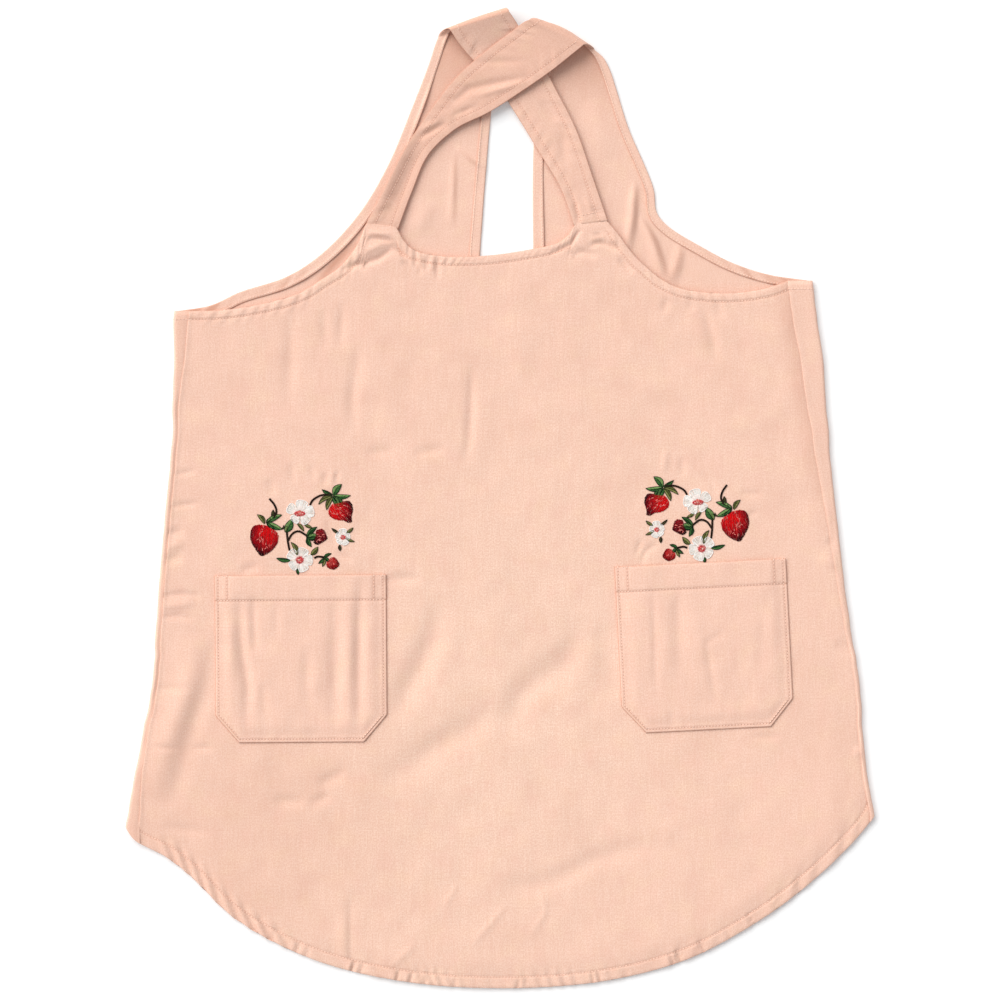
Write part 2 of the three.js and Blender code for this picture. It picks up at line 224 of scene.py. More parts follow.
# rows: height, width in mm, then points in pattern units
FRONT_FOLDS = [
    # long soft folds
    (2.5, 14, (-300, -135), (-308, -181), (-322, -221), (-332, -246), (-344, -300)),
    (-1.8, 10, (-288, -135), (-294, -181), (-305, -215), (-314, -246), (-330, -310)),
    (-2.2, 12, (-58, -95), (-67, -141), (-80, -169), (-95, -198), (-108, -225)),
    (-2.1, 14, (5, -206), (-15, -219), (-40, -236), (-68, -251), (-92, -269), (-118, -288)),
    (-2.1, 13, (6, -245), (13, -218), (22, -196), (35, -183), (60, -168), (74, -146), (82, -115)),
    (-1.5, 11, (97, -128), (107, -161), (116, -200)),
    (-1.2, 9, (-6, -390), (48, -384), (92, -362), (126, -352), (164, -344)),
    (0.7, 6, (-158, -395), (-157, -440), (-156, -470)), (-0.45, 3, (-150, -398), (-149, -470)),
    # short creases of the bib
    (-1.2, 4.5, (-28, 134), (-29, 89), (-31, 59), (-36, 34)), (-0.8, 4.5, (-134, 47), (-104, 47)),
    (-0.9, 4.5, (-86, 46), (-54, 50)), (-1.0, 5.5, (-141, 155), (-143, 135), (-148, 99), (-145, 64)),
    (-0.8, 4.5, (-157, 198), (-160, 150)), (-0.7, 4.5, (-177, 190), (-173, 150)),
    (-1.0, 6.5, (-208, 190), (-210, 139), (-211, 88)),
    (-1.1, 5, (199, 203), (206, 184), (213, 159), (216, 135)), (-0.8, 3.5, (189, 203), (193, 187)),
    (-0.8, 3.5, (167, 201), (164, 185)), (-0.7, 4, (215, 200), (222, 180)),
    # short creases of the skirt
    (-1.2, 4.5, (-118, -80), (-78, -80)), (-1.0, 4, (-334, -35), (-316, -32)),
    (0.9, 4, (-334, -48), (-316, -45)), (-1.0, 4, (-335, -62), (-318, -58)),
    (0.5, 2.2, (-42, -385), (-56, -408)), (0.6, 2.4, (8, -404), (-10, -426), (-31, -448)),
    (0.5, 2.2, (41, -393), (46, -413), (30, -437)), (0.6, 2.4, (-83, -444), (-112, -470)),
    (-0.8, 2.4, (250, -237), (280, -239)), (-0.9, 4, (325, -42), (344, -48)),
    (0.8, 4, (320, -58), (338, -68)), (-0.9, 5, (336, -142), (358, -158)), (0.9, 4, (352, -252), (368, -256)),
    (-1.0, 2.6, (-308, -249), (-287, -249)), (-0.7, 4, (-338, -328), (-288, -334)),
    (-0.7, 3.5, (-344, -189), (-308, -190)), (-1.2, 5, (-226, -301), (-196, -304)),
    (-1.0, 4.5, (-190, -305), (-168, -296)), (-1.1, 5.5, (-184, -288), (-153, -271)),
    # drawn-up cloth round the embroidery
    (-0.9, 2.8, (-176, 26), (-173, 14)), (0.7, 2.6, (-168, 28), (-167, 14)),
    (-0.9, 2.4, (-163, 28), (-164, 16)), (-0.9, 2.2, (-174, -22), (-170, -32), (-163, -47)),
    (-0.8, 2.2, (-165, -53), (-146, -62)), (-0.7, 3.5, (-232, 20), (-226, 4)),
    (-0.7, 3, (-210, 36), (-206, 16)), (-0.6, 3, (-190, 34), (-186, 18)), (-0.9, 4, (-240, -66), (-262, -74)),
    (-0.9, 2.2, (160, -44), (146, -52), (141, -64)), (-0.8, 2.2, (142, -40), (136, -56)),
    (0.7, 3, (166, 50), (164, 26)), (-0.7, 3, (182, 42), (183, 22)),
    (-0.7, 3, (200, 28), (212, 16), (218, 4)), (-0.7, 3, (240, 6), (262, 4)),
    (-0.6, 2.5, (246, -16), (258, -14)),
    # horns and neckline
    (-2.2, 2.6, (-160, 228), (-147, 233.5), (-136, 236), (-122, 240), (-112, 247), (-104, 256)),
    (-2.0, 2.2, (-108, 256), (-102, 249), (-92, 241)), (1.3, 3, (-146, 243), (-128, 250), (-112, 258)),
    (1.1, 3.2, (-132, 268), (-110, 264)), (-1.7, 2, (-134, 262), (-118, 260), (-102, 257)),
    (1.0, 3, (-104, 246), (-96, 236)), (-1.9, 2.4, (88, 252), (98, 257), (103, 256), (121, 248)),
    (1.2, 2.4, (90, 258), (104, 262), (118, 256)), (-1.4, 2, (94, 266), (110, 258)),
    (-1.6, 3.2, (66, 246), (84, 247), (98, 242)), (-1.2, 2.4, (118, 240), (134, 226)),
    (-1.5, 2, (79, 280), (79, 268), (71, 255), (48, 244)), (-0.9, 1.7, (-83.5, 249), (-84, 230)),
    # creases that run in from the left side seam
    (-1.0, 2.8, (-342, -98), (-318, -95), (-298, -97)), (0.8, 2.8, (-340, -108), (-306, -105)),
    (-0.9, 2.6, (-340, -119), (-322, -117), (-306, -121)), (-0.8, 2.4, (-350, -248), (-322, -250)),
    (-0.9, 2.8, (-330, -8), (-300, -4)), (-0.8, 2.6, (-326, 24), (-304, 28)),
    (0.8, 1.6, (-79, 246), (-79, 230)), (-0.9, 1.8, (-73, 246), (-74, 226)),
    (0.8, 1.8, (-68, 245), (-68, 228)), (-1.1, 2, (-64, 243), (-62, 219)),
    (-0.7, 2.2, (-80, 238), (-80, 223)),
]


# wedges drawn into the bottom hem: place along x, depth, and lean
HEM_WEDGES = [
    (-231, 1.0, 8), (-206, 1.5, 6), (-196, 0.9, 6), (-150, 1.9, 5), (-142, 1.3, 6), (-104, 1.2, 3),
    (-92, 1.4, 5), (-76, 0.9, 3), (-46, 0.9, 2), (17, 1.3, 3), (24, 0.8, 2), (95, 1.7, -4), (102, 1.2, -5),
    (128, 0.8, -4), (175, 1.7, -6), (183, 1.4, -8), (206, 1.3, -7), (232, 0.9, -8), (255, 1.5, -8),
    (278, 0.9, -9), (303, 1.0, -9),
]
for x, depth, lean in HEM_WEDGES:
    y = np.interp(x * UNIT, hem_line[:, 0], hem_line[:, 1]) / UNIT
    FRONT_FOLDS += [(-depth, 1.5, (x, y - 4), (x + lean, y + 11)),
                    (0.3 * depth, 3.0, (x - 4, y - 4), (x - 4 + lean, y + 10))]


def front_height(x, y):
    """Height of the front's outer face over the table, away from its seams and hems."""
    waves = 0.5 * wander(x + 0.3 * y, 0.45 * y, 34, 11) + 0.26 * wander(x, y, 17, 12)
    threads = 0.05 * wander(x, 0.12 * y, 3.4, 13) + 0.05 * wander(x, y, 7, 14)
    return FRONT_TOP + FOLD_DEPTH * folds(x, y, FRONT_FOLDS) + waves + threads


print("folds and creases of the front:", len(FRONT_FOLDS))


# %% [markdown]
# ## From a grid to cloth
# Every piece of cloth below is a grid of points on its outer face. One helper turns such a grid into a
# closed wall: it finds the normals, sets the inner face a cloth's thickness behind, rounds the free edges,
# and closes the rim. A Solidify modifier could do this too, but with the grid at hand the thickness can
# change from field to hem, and the map of the weave can keep true lengths along and across the cloth. The
# large front gets a leaner inner face, which nobody sees, to save triangles.

# %% Normals and pieces
CLOTH = 0.7
EDGE_ROUND = 0.42
LEAN_STEP = 3


def normals_of(face):
    """Unit normals of a grid of points, with missing points as NaN."""
    def slope(axis):
        step = np.diff(face, axis=axis)
        gap = np.full_like(np.take(face, [0], axis), np.nan)
        pair = np.stack([np.concatenate([step, gap], axis), np.concatenate([gap, step], axis)])
        seen = ~np.isnan(pair)
        return np.where(seen, pair, 0).sum(0) / np.maximum(seen.sum(0), 1)

    n = np.cross(slope(1), slope(0))
    return n / np.maximum(np.linalg.norm(n, axis=2, keepdims=True), 1e-12)


def piece_of(name, mesh):
    piece = bpy.data.objects.new(name, mesh)
    bpy.context.scene.collection.objects.link(piece)
    return piece


print("cloth thickness, mm:", CLOTH)


# %% Walls
def full_shell(face, wall, out):
    """A wall whose inner face has every point of the outer one: points, their places in the grid, faces."""
    there = ~np.isnan(face[..., 0])
    cell = there[:-1, :-1] & there[1:, :-1] & there[:-1, 1:] & there[1:, 1:]
    pad = np.pad(cell, 1)
    rim = there & ~(pad[:-1, :-1] & pad[1:, :-1] & pad[:-1, 1:] & pad[1:, 1:])
    tuck = np.where(rim, EDGE_ROUND, 0.0) * wall
    outer, inner = face - out * tuck[..., None], face - out * (wall - tuck)[..., None]
    number = np.full(there.shape, -1)
    number[there] = np.arange(there.sum())
    inside = there.sum()
    a, b, c, d = (m[cell] for m in (number[:-1, :-1], number[:-1, 1:], number[1:, 1:], number[1:, :-1]))
    quads = [np.stack([a, b, c, d], 1), np.stack([a, d, c, b], 1) + inside]
    no_left, no_right = ~pad[1:-1, :-2][cell], ~pad[1:-1, 2:][cell]
    no_low, no_high = ~pad[:-2, 1:-1][cell], ~pad[2:, 1:-1][cell]
    for open_side, p, q in ((no_low, a, b), (no_right, b, c), (no_high, c, d), (no_left, d, a)):
        p, q = p[open_side], q[open_side]
        quads.append(np.stack([q, p, p + inside, q + inside], 1))
    places = np.tile(np.flatnonzero(there), 2)
    return np.vstack([outer[there], inner[there]]), places, np.vstack(quads).tolist()


def lean_shell(face, wall, out):
    """The same with an inner face of every third row and column only, kept below the deepest dent."""
    rows, columns = (np.unique([*range(0, count, LEAN_STEP), count - 1]) for count in face.shape[:2])
    number = np.arange(face.shape[0] * face.shape[1]).reshape(face.shape[:2])
    low = number.size + np.arange(len(rows) * len(columns)).reshape(len(rows), len(columns))
    rim = np.ones(number.shape, bool)
    rim[1:-1, 1:-1] = False
    outer = face - out * (np.where(rim, EDGE_ROUND, 0.0) * wall)[..., None]
    view = np.lib.stride_tricks.sliding_window_view
    lowest = view(np.pad(face[..., 2], LEAN_STEP, mode="edge"), (2 * LEAN_STEP + 1,) * 2).min((2, 3))
    inner = face.copy()
    inner[..., 2] = np.where(rim, face[..., 2] - wall * (1 - EDGE_ROUND), lowest - wall)
    inner = inner[np.ix_(rows, columns)]
    faces = []
    for grid, turn in ((number, 1), (low, -1)):
        corners = np.stack([grid[:-1, :-1], grid[:-1, 1:], grid[1:, 1:], grid[1:, :-1]], 2).reshape(-1, 4)
        faces += corners[:, ::turn].tolist()
    sides = [(number[0], low[0], columns), (number[:, -1], low[:, -1], rows),
             (number[-1], low[-1], columns), (number[:, 0], low[:, 0], rows)]
    for k, (top, bottom, at) in enumerate(sides):
        for j in range(len(at) - 1):
            strip = [*top[at[j]:at[j + 1] + 1][::-1].tolist(), int(bottom[j]), int(bottom[j + 1])]
            faces.append(strip if k < 2 else strip[::-1])
    places = np.concatenate([number.ravel(), number[np.ix_(rows, columns)].ravel()])
    return np.vstack([outer.reshape(-1, 3), inner.reshape(-1, 3)]), places, faces


patch = np.stack([*np.meshgrid(even(6), even(6)), np.zeros((7, 7))], 2)
print("faces of a small wall, full and lean:",
      [len(shell(patch, 0.1 + 0 * patch[..., 0], normals_of(patch))[2]) for shell in (full_shell, lean_shell)])


# %% Cloth pieces
def cloth_piece(name, face, wall, facing, flat_map, painted_shade=0.0, paler=0.0, shell=full_shell):
    """A closed wall of cloth from a grid in mm, with its flat map of u and v, painted shade and paler parts."""
    points, places, faces = shell(face, wall, normals_of(face) * facing)
    mesh = bpy.data.meshes.new(name)
    mesh.from_pydata((points * MM).tolist(), [], [corners[::facing] for corners in faces])
    spots = flat_map.reshape(-1, 2)[places] * MM
    corner = np.empty(len(mesh.loops), int)
    mesh.loops.foreach_get("vertex_index", corner)
    mesh.uv_layers.new(name="flat_cloth").data.foreach_set("uv", spots[corner].ravel())
    for label, amount in (("painted_shade_line", painted_shade), ("paler", paler)):
        amount = np.broadcast_to(amount, face.shape[:2]).ravel()[places]
        mesh.attributes.new(label, "FLOAT", "POINT").data.foreach_set("value", amount)
    mesh.shade_smooth()
    print(f"{name}: {sum(len(corners) - 2 for corners in faces)} triangles")
    return piece_of(name, mesh)


def flat_lengths(face):
    """Where each grid point lies on the flat cloth: u across its row, v up the middle of the grid."""
    step = np.nan_to_num(np.linalg.norm(np.diff(face, axis=1), axis=2))
    u = np.concatenate([np.zeros((len(face), 1)), np.cumsum(step, 1)], 1)
    middle = face[:, np.flatnonzero(~np.isnan(face[..., 0]).any(0))]
    v = lengths(middle[:, middle.shape[1] // 2])
    return np.stack([u, np.broadcast_to(v[:, None], u.shape)], 2)


print("far corner of the small patch on its flat map:", flat_lengths(patch)[-1, -1].tolist())


# %% [markdown]
# ## The front
# The front is one piece of cotton: straight seams at the sides, a curved hem below, hemmed armholes and
# neckline above, and two small horns where the straps are sewn on. Columns of the grid run from the bottom
# hem to the top edge. Rows lie close together where a hem is stitched, so the groove under the thread and
# the roll of the turned edge are real shapes.

# %% Seams and hems of the front
BOTTOM_STITCH, TOP_STITCH = 10.4, 7.8
# where cloth runs under a neighbour: how far, how deep, and how thin it gets
LAP, LAP_DROP, LAP_WALL = 2.2, 0.26, 0.18


def tucked(distance):
    """How far cloth sinks where it runs under a neighbour; distance is measured from the seam."""
    return -LAP_DROP * (1 - ease(distance, -0.5, 2.4))


def hem_steps(stitch):
    """Distances from an edge whose hem is stitched at a given distance."""
    return np.array([0, 0.25, 0.8, 1.8, *np.linspace(3, stitch - 2.6, 3), stitch - 1.6, stitch - 0.8, stitch,
                     stitch + 0.8, stitch + 1.6, stitch + 3])


def side_line(side, y, column):
    """The fold at a side, or how far inside it the seam lies, at a height y."""
    rows = np.array(SIDES[side])[::-1]
    line = smooth_line(rows[:, [1, SIDE_COLUMNS.index(column)]], even(200))
    wave = 0.7 * wander(y, len(side), 21, 61) + 0.4 * wander(y, len(side), 9, 62) if column == "x" else 0
    return np.interp(y, line[:, 0], line[:, 1]) + wave * ease(y, rows[0, 1], rows[0, 1] + 20)


def seam_x(side, y):
    inward = 1 if side == "left" else -1
    return side_line(side, y, "x") + inward * side_line(side, y, "seam_in")


def across(share, y):
    return mix(seam_x("left", y), seam_x("right", y) + LAP, share)


def hem_y(x):
    return np.interp(x, hem_line[:, 0], hem_line[:, 1])


print("steps across the bottom hem, mm:", hem_steps(BOTTOM_STITCH).round(1).tolist())

# %% Top edge of the front
NEAR_SEAM = np.array([0, 0.4, 1, 1.8, 2.8, 4.2, 6]) / 200
edge_shares = np.concatenate([NEAR_SEAM, np.linspace(0.04, 1, 84)])
TOP_PARTS = [
    ("armhole_left", smooth_line(ARMHOLE_LEFT, edge_shares)),
    ("horn_left", smooth_line([ARMHOLE_LEFT[-1], NECK_EDGE[0]], even(16))[1:-1] + (0, LAP)),
    ("neck", smooth_line(NECK_EDGE, even(110))),
    ("horn_right", smooth_line([NECK_EDGE[-1], ARMHOLE_RIGHT[0]], even(16))[1:-1] + (0, LAP)),
    ("armhole_right", smooth_line(ARMHOLE_RIGHT, 1 - edge_shares[::-1])),
    ("lap_right", np.array(ARMHOLE_RIGHT[-1]) + np.outer(even(2)[1:], (LAP, 0))),
]
top_edge = np.vstack([points for _, points in TOP_PARTS])
part_of = np.concatenate([[name] * len(points) for name, points in TOP_PARTS])
is_horn = np.char.startswith(part_of, "horn")
print("points along the top edge:", len(top_edge))


# %% Grid of the front
def steepness(line, most=2.4):
    """How much longer a vertical step is than one square to the line."""
    run = np.gradient(line, axis=0)
    stretch = np.minimum(np.hypot(*run.T) / np.maximum(np.abs(run[:, 0]), 1e-6), most)
    kernel = np.ones(5) / 5
    return np.convolve(np.pad(stretch, 2, mode="edge"), kernel, "valid")


left_at_top, right_at_top = seam_x("left", top_edge[:, 1]), seam_x("right", top_edge[:, 1]) + LAP
share_of = (top_edge[:, 0] - left_at_top) / (right_at_top - left_at_top)
foot_x = across(share_of, HEM_EDGE[0][1])
bottom_edge = np.stack([foot_x, hem_y(foot_x)], 1)
top_stretch, bottom_stretch = steepness(top_edge), steepness(bottom_edge)
low_steps, top_steps = hem_steps(BOTTOM_STITCH), hem_steps(TOP_STITCH)
FIELD_ROWS = 244
low_y = bottom_edge[:, 1] + low_steps[:, None] * bottom_stretch
top_y = top_edge[:, 1] - top_steps[::-1, None] * top_stretch
field_rise = even(FIELD_ROWS) * (1.3 - 0.3 * even(FIELD_ROWS))
field_y = mix(low_y[-1], top_y[0], field_rise[1:-1, None])
front_y = np.vstack([low_y, field_y, top_y])
front_x = across(share_of, front_y)
print("grid of the front:", front_y.shape)

# %% [markdown]
# ## Hems, puckers and tones of the front
# A hem rolls softly between its edge and the groove of its stitches, and the thread draws the cloth into
# small slanting puckers. The distance of every point to each edge is known, so this is a matter of adding
# heights. The same distances tell where shade is painted into the cloth's colour.

# %% Relief of the front: hems, puckers and side seams
# columns: edge, from and to along it in mm, height, spacing and slant of the puckers
PUCKERS = [
    ("hem", 15, 300, 1.35, 19, 0.9), ("hem", 280, 500, 0.75, 11, 0.4), ("hem", 500, 800, 0.42, 23, -0.3),
    ("armhole_left", 0, 240, 0.4, 13, 0.5), ("neck", 0, 70, 0.6, 8, 0.1), ("neck", 40, 215, 0.3, 6.5, 0.8),
    ("armhole_right", 0, 240, 0.45, 12, -0.6),
]
HEM_DROOP, DROOP_REACH = 1.6, 26


def hem_profile(d, stitch, roll=0.26, groove=0.32):
    """Height across a hem: a soft roll between the edge and the groove that the thread draws."""
    band = roll * ease(d, 0, 2.5) * (1 - ease(d, stitch - 1.4, stitch)) - 0.9 * roll * (1 - ease(d, 0, 2.2))
    return band - groove * bump(d - stitch, 0.95)


from_hem = (front_y - bottom_edge[:, 1]) / bottom_stretch
from_top = (top_edge[:, 1] - front_y) / top_stretch
front_z = front_height(front_x, front_y)
front_z = np.where(is_horn, mix(FRONT_TOP, front_z, ease(from_top - LAP, 0.5, 6)), front_z)
front_z += hem_profile(from_hem, BOTTOM_STITCH) - HEM_DROOP * (1 - ease(from_hem, 0, DROOP_REACH))
front_z += np.where(is_horn, tucked(from_top - LAP), hem_profile(from_top, TOP_STITCH))
front_z += 0.45 * (part_of == "horn_left") * (1 - ease(from_top - LAP, 8.4, 9.8))
for where, start, end, height, spacing, lean in PUCKERS:
    if where == "hem":
        s, d, stitch, mine = lengths(bottom_edge), from_hem, BOTTOM_STITCH, True
    else:
        mine = part_of == where
        s = lengths(top_edge) - lengths(top_edge)[mine][0]
        d, stitch = from_top, TOP_STITCH
    strength = ease(s, start, start + 18) * (1 - ease(s, end - 18, end)) * mine
    held = 1 - 0.55 * bump(d - stitch, 1.6)
    reach = np.where(d < stitch, 1.0, bump(d - stitch, 4.5))
    front_z += height * strength * held * reach * puckers(s + 0 * d, d, spacing, lean, int(spacing * 10))
from_left = front_x - seam_x("left", front_y)
from_right = seam_x("right", front_y) - front_x
front_z += 0.38 * bump(from_left - 1.8, 1.5) + 0.15 * wander(front_y, 0, 9, 21) * bump(from_left, 9)
front_z += tucked(from_right)
front_face = np.stack([front_x, front_y, front_z], 2)
front_wall = CLOTH + 0.5 * ((from_hem < BOTTOM_STITCH) | (from_top < TOP_STITCH))
front_wall = mix(LAP_WALL, front_wall, ease(from_left, 1.5, 6))
print("heights of the front, mm:", front_z.min().round(1), "to", front_z.max().round(1))

# %% Tones of the front
# painted shade along stitches and seams, beside the right seam and at the lower left; a faint mottling all over
front_shade_and_mottle = 0.28 * bump(from_hem - BOTTOM_STITCH, 0.9) + 0.75 * (from_left < 0.6)
front_shade_and_mottle += np.where(is_horn, 0, 0.4 * bump(from_top - TOP_STITCH, 0.8) + 0.3 * (from_top < 0.3))
front_shade_and_mottle += 0.22 * bump(from_right - 2, 10) * ease(front_y, -60, 40)
lower_left = np.hypot((front_x + 205) / 130, (front_y + 300) / 110)
front_shade_and_mottle += 0.1 * bump(lower_left, 1)
front_shade_and_mottle += 0.06 * np.clip(wander(front_x, front_y, 31, 71) + 0.7 * wander(front_x, front_y, 13, 72), 0, 1)
# the cloth is paler towards the middle of the front
middle = np.hypot((front_x - 0.25 * front_y - 40) / 190, (front_y + 190) / 260)
front_paler = bump(middle, 1)
front_cloth = cloth_piece("front_cloth", front_face, front_wall, 1, front_face[..., :2], front_shade_and_mottle,
                          front_paler, lean_shell)

# %% [markdown]
# ## Back panels and straps
# Each back panel is cut in one with its strap. It lies right side down on the table, wraps round the side
# to meet the front at the side seam, rises along the armhole to the shoulder, folds over there, and comes
# down across the chest as a strap, right side up, to be sewn to the opposite horn. One grid follows the
# cloth all that way, so the fold at the shoulder has no seam, as on the real apron.

# %% Folds and tones of the back panels and straps
STRAP_STITCH, BACK_STITCH, HORN_STITCH = 7.6, 8.7, 8.5
STRAP_DEPTH = 1.3
BACK_RISE = 7  # how much higher the hem lies at the back edge than at the side
SIDE_RADIUS = FRONT_TOP / 2
BODY_ROWS, UPPER_ROWS, FOLD_ROWS, STRAP_ROWS = 100, 110, 18, 120
INNER_COLUMNS, ARC_COLUMNS, WRAP_COLUMNS, LAP_ROWS = 58, 12, 9, 6
STRAP_FOLDS = {
    "left": [(-0.7, 5, (62, 369), (66, 330)), (-1.1, 2.4, (66, 312), (75, 296), (78, 284), (79, 270)),
             (0.7, 2.6, (84, 302), (96, 282)), (-0.6, 2.6, (90, 290), (104, 286)),
             (-0.6, 5, (40, 398), (58, 380))],
    "right": [(-1.4, 4, (-54, 391), (-30, 410), (0, 416), (34, 421)), (-0.9, 3, (-48, 383), (-22, 393)),
              (0.9, 3, (-26, 402), (5, 411), (31, 419)), (-0.7, 3, (-36, 436), (29, 437)),
              (-1.3, 3, (-84, 359), (-68, 369), (-52, 376)), (0.8, 3, (-80, 366), (-60, 380)),
              (2.0, 6.5, (-86, 370), (-106, 329), (-117, 304), (-130, 272)),
              (-1.2, 6, (-76, 360), (-91, 326), (-101, 304), (-114, 278))],
}
BACK_FOLDS = {
    "left": [(0.9, 3, (-46, 342), (-49, 272)), (1.0, 2.6, (-44, 352), (-30, 341), (-13, 331)),
             (1.2, 9, (-70, 300), (-84, 262))],
    "right": [(3.0, 3.2, (135, 318), (132, 281), (128, 255), (119, 240)),
              (3.2, 3.2, (140, 282), (152, 260), (160, 236), (165, 210)),
              (2.4, 2.8, (181, 256), (177, 234), (169, 210)), (1.0, 12, (90, 400), (110, 340))],
}
# painted shade along sharp creases on the wrong side: darkness, width, points
BACK_CREASE_SHADE = {
    "left": [(0.3, 1.8, (-44, 350), (-46, 270)), (0.25, 1.8, (-40, 350), (-28, 338), (-13, 330)),
             (0.6, 3.6, (-184, 216), (-168, 234), (-143, 259))],
    "right": [(0.42, 2, (138, 318), (135, 281), (130, 250)),
              (0.5, 2, (143, 282), (156, 258), (163, 236), (169, 214)),
              (0.4, 2, (183, 256), (178.5, 234), (170, 214))],
}
# painted shade: how much darker the straps are, the crests of their loops, and the insides of the loops
# over some rows
STRAP_SHADE, CREST_SHADE = dict(left=0.11, right=0.23), dict(left=0.28, right=0.08)
LOOP_SHADE, LOOP_ROWS = 0.42, 36
SEEN_ROWS = 30  # rows below the underarm that get relief as well
print("folds of straps and backs:", [len(rows) for rows in (*STRAP_FOLDS.values(), *BACK_FOLDS.values())])


# %% Rows across the back panels and straps
def shoulder_loop(side, edge, angle):
    """Points along one edge of a shoulder's loop, from the panel (angle 0) over the top to the strap."""
    start, top, end = (np.array(spot, float) for spot in BACKS[side]["loop"][edge])
    angle = np.asarray(angle)[:, None]
    flat = top + ((start + end) / 2 - top) * (1 - np.sin(angle)) - (end - start) / 2 * np.cos(angle)
    return np.concatenate([flat, BACKS[side]["loop"]["radius"] * (1 - np.cos(angle))], 1)


def across_steps(width, stitch):
    """Distances across a hemmed panel or strap of each width, close together at both stitched edges."""
    near = hem_steps(STRAP_STITCH) * (stitch / STRAP_STITCH)
    near = np.broadcast_to(near, (len(width), near.shape[-1]))
    inner = mix(near[:, -1:], width[:, None] - near[:, -1:], even(INNER_COLUMNS)[1:-1])
    return np.concatenate([near, inner, width[:, None] - near[:, ::-1]], 1)


def rulings(start, end, stitch):
    """Rows of points from one edge of the cloth to the other."""
    width = np.linalg.norm(end - start, axis=1)
    share = across_steps(width, stitch) / width[:, None]
    return mix(start[:, None], end[:, None], share[..., None])


print("points across a strap:", across_steps(np.array([40.0]), STRAP_STITCH).shape[1])


# %% Grids of the back panels
def back_grid(side):
    """The outer face of a back panel with its strap, and the first row of each stretch."""
    cut, out = BACKS[side], BACKS[side]["outward"]
    underarm = SIDES[side][0][1]
    edge = np.array(cut["back_edge"])
    back_x = lambda y: np.interp(y, edge[:, 1], edge[:, 0])
    fold_x = lambda y: side_line(side, y, "x") - out * SIDE_RADIUS
    lift = lambda points: np.concatenate([points, np.zeros((len(points), 1))], 1)

    width = np.array([abs(fold_x(underarm) - back_x(underarm))])
    flat_share = across_steps(width, BACK_STITCH)[0] / width
    angle = np.pi * even(ARC_COLUMNS)[1:]
    columns = []
    for k in range(len(flat_share) + ARC_COLUMNS + WRAP_COLUMNS):
        def spot(y, k=k):
            if k < len(flat_share):
                return np.stack([mix(back_x(y), fold_x(y), flat_share[k]), y, 0 * y], 1)
            k -= len(flat_share)
            if k < ARC_COLUMNS:
                x = fold_x(y) + out * SIDE_RADIUS * np.sin(angle[k])
                return np.stack([x, y, SIDE_RADIUS * (1 - np.cos(angle[k])) + 0 * y], 1)
            seam = seam_x(side, y) + (LAP if side == "left" else 0)
            x = mix(fold_x(y), seam, ease((k - ARC_COLUMNS + 1) / WRAP_COLUMNS, -1, 1) * 2 - 1)
            return np.stack([x, y, mix(FRONT_TOP, front_height(x, y), ease(k - ARC_COLUMNS, -1, 3))], 1)

        rise = BACK_RISE * (1 - flat_share[k]) if k < len(flat_share) else 0
        foot = hem_y(spot(np.array([SIDES[side][-1][1] + 0.0]))[0, 0]) + rise
        near = hem_steps(BOTTOM_STITCH)
        up = np.concatenate([near, mix(near[-1], underarm - foot, even(BODY_ROWS)[1:])])
        columns.append(spot(foot + up))
    body = np.stack(columns, 1)

    turns = np.pi * even(FOLD_ROWS)
    loop_back, loop_arm = (shoulder_loop(side, edge, turns) for edge in ("back", "arm"))
    above = [tuple(p) for p in edge if p[1] > underarm]
    back_line = smooth_line([(back_x(underarm), underarm), *above, loop_back[0, :2]], even(UPPER_ROWS))
    arm_line = smooth_line([(fold_x(underarm), underarm), *cut["armhole"], loop_arm[0, :2]], even(UPPER_ROWS))
    upper = rulings(lift(back_line), lift(arm_line), BACK_STITCH)[1:]
    stitch = mix(BACK_STITCH, STRAP_STITCH, even(FOLD_ROWS)[1:, None])
    fold = rulings(loop_back[1:], loop_arm[1:], stitch)
    bulge = np.sin(turns[1:, None]) * np.sin(np.pi * np.linspace(0, 1, fold.shape[1])) ** 0.7
    fold[..., 1] += cut["loop"]["crown"] * bulge
    rows = np.array(cut["strap"])[::-1]
    t = np.linspace(0, len(rows), STRAP_ROWS + 1)
    outer = smooth_at(np.vstack([loop_back[-1], rows[:, [0, 1, 4]]]), t)
    neck = smooth_at(np.vstack([loop_arm[-1], rows[:, [2, 3, 4]]]), t)
    strap = rulings(outer, neck, STRAP_STITCH)[1:]

    high = np.concatenate([upper, fold, strap])
    face = np.full((len(body) + len(high), body.shape[1], 3), np.nan)
    face[: len(body)] = body
    face[len(body):, : high.shape[1]] = high
    starts = np.cumsum([len(body), len(upper), len(fold)])
    return face, len(flat_share), starts


back_faces = {side: back_grid(side) for side in BACKS}
print("grids of the back panels:", [face.shape[:2] for face, _, _ in back_faces.values()])


# %% [markdown]
# ## Creases and shade on the backs
# Beside the neck the back panels show their wrong side, with a few sharp creases. The straps show their
# right side, with a hem along both edges. The insides of the shoulders' loops lie in shade, and painted
# shade in the cloth's colour darkens them further, as it does the straps, the crests of their loops and
# the creases.

# %% Relief of the back panels and straps
def back_height(side, x, y):
    """Height of a back panel over the table where the front leaves it in view."""
    waves = 0.25 + 0.25 * wander(x, y, 26, 31) + 0.12 * wander(x, y, 11, 32)
    return np.maximum(folds(x, y, BACK_FOLDS[side]), 0) + waves


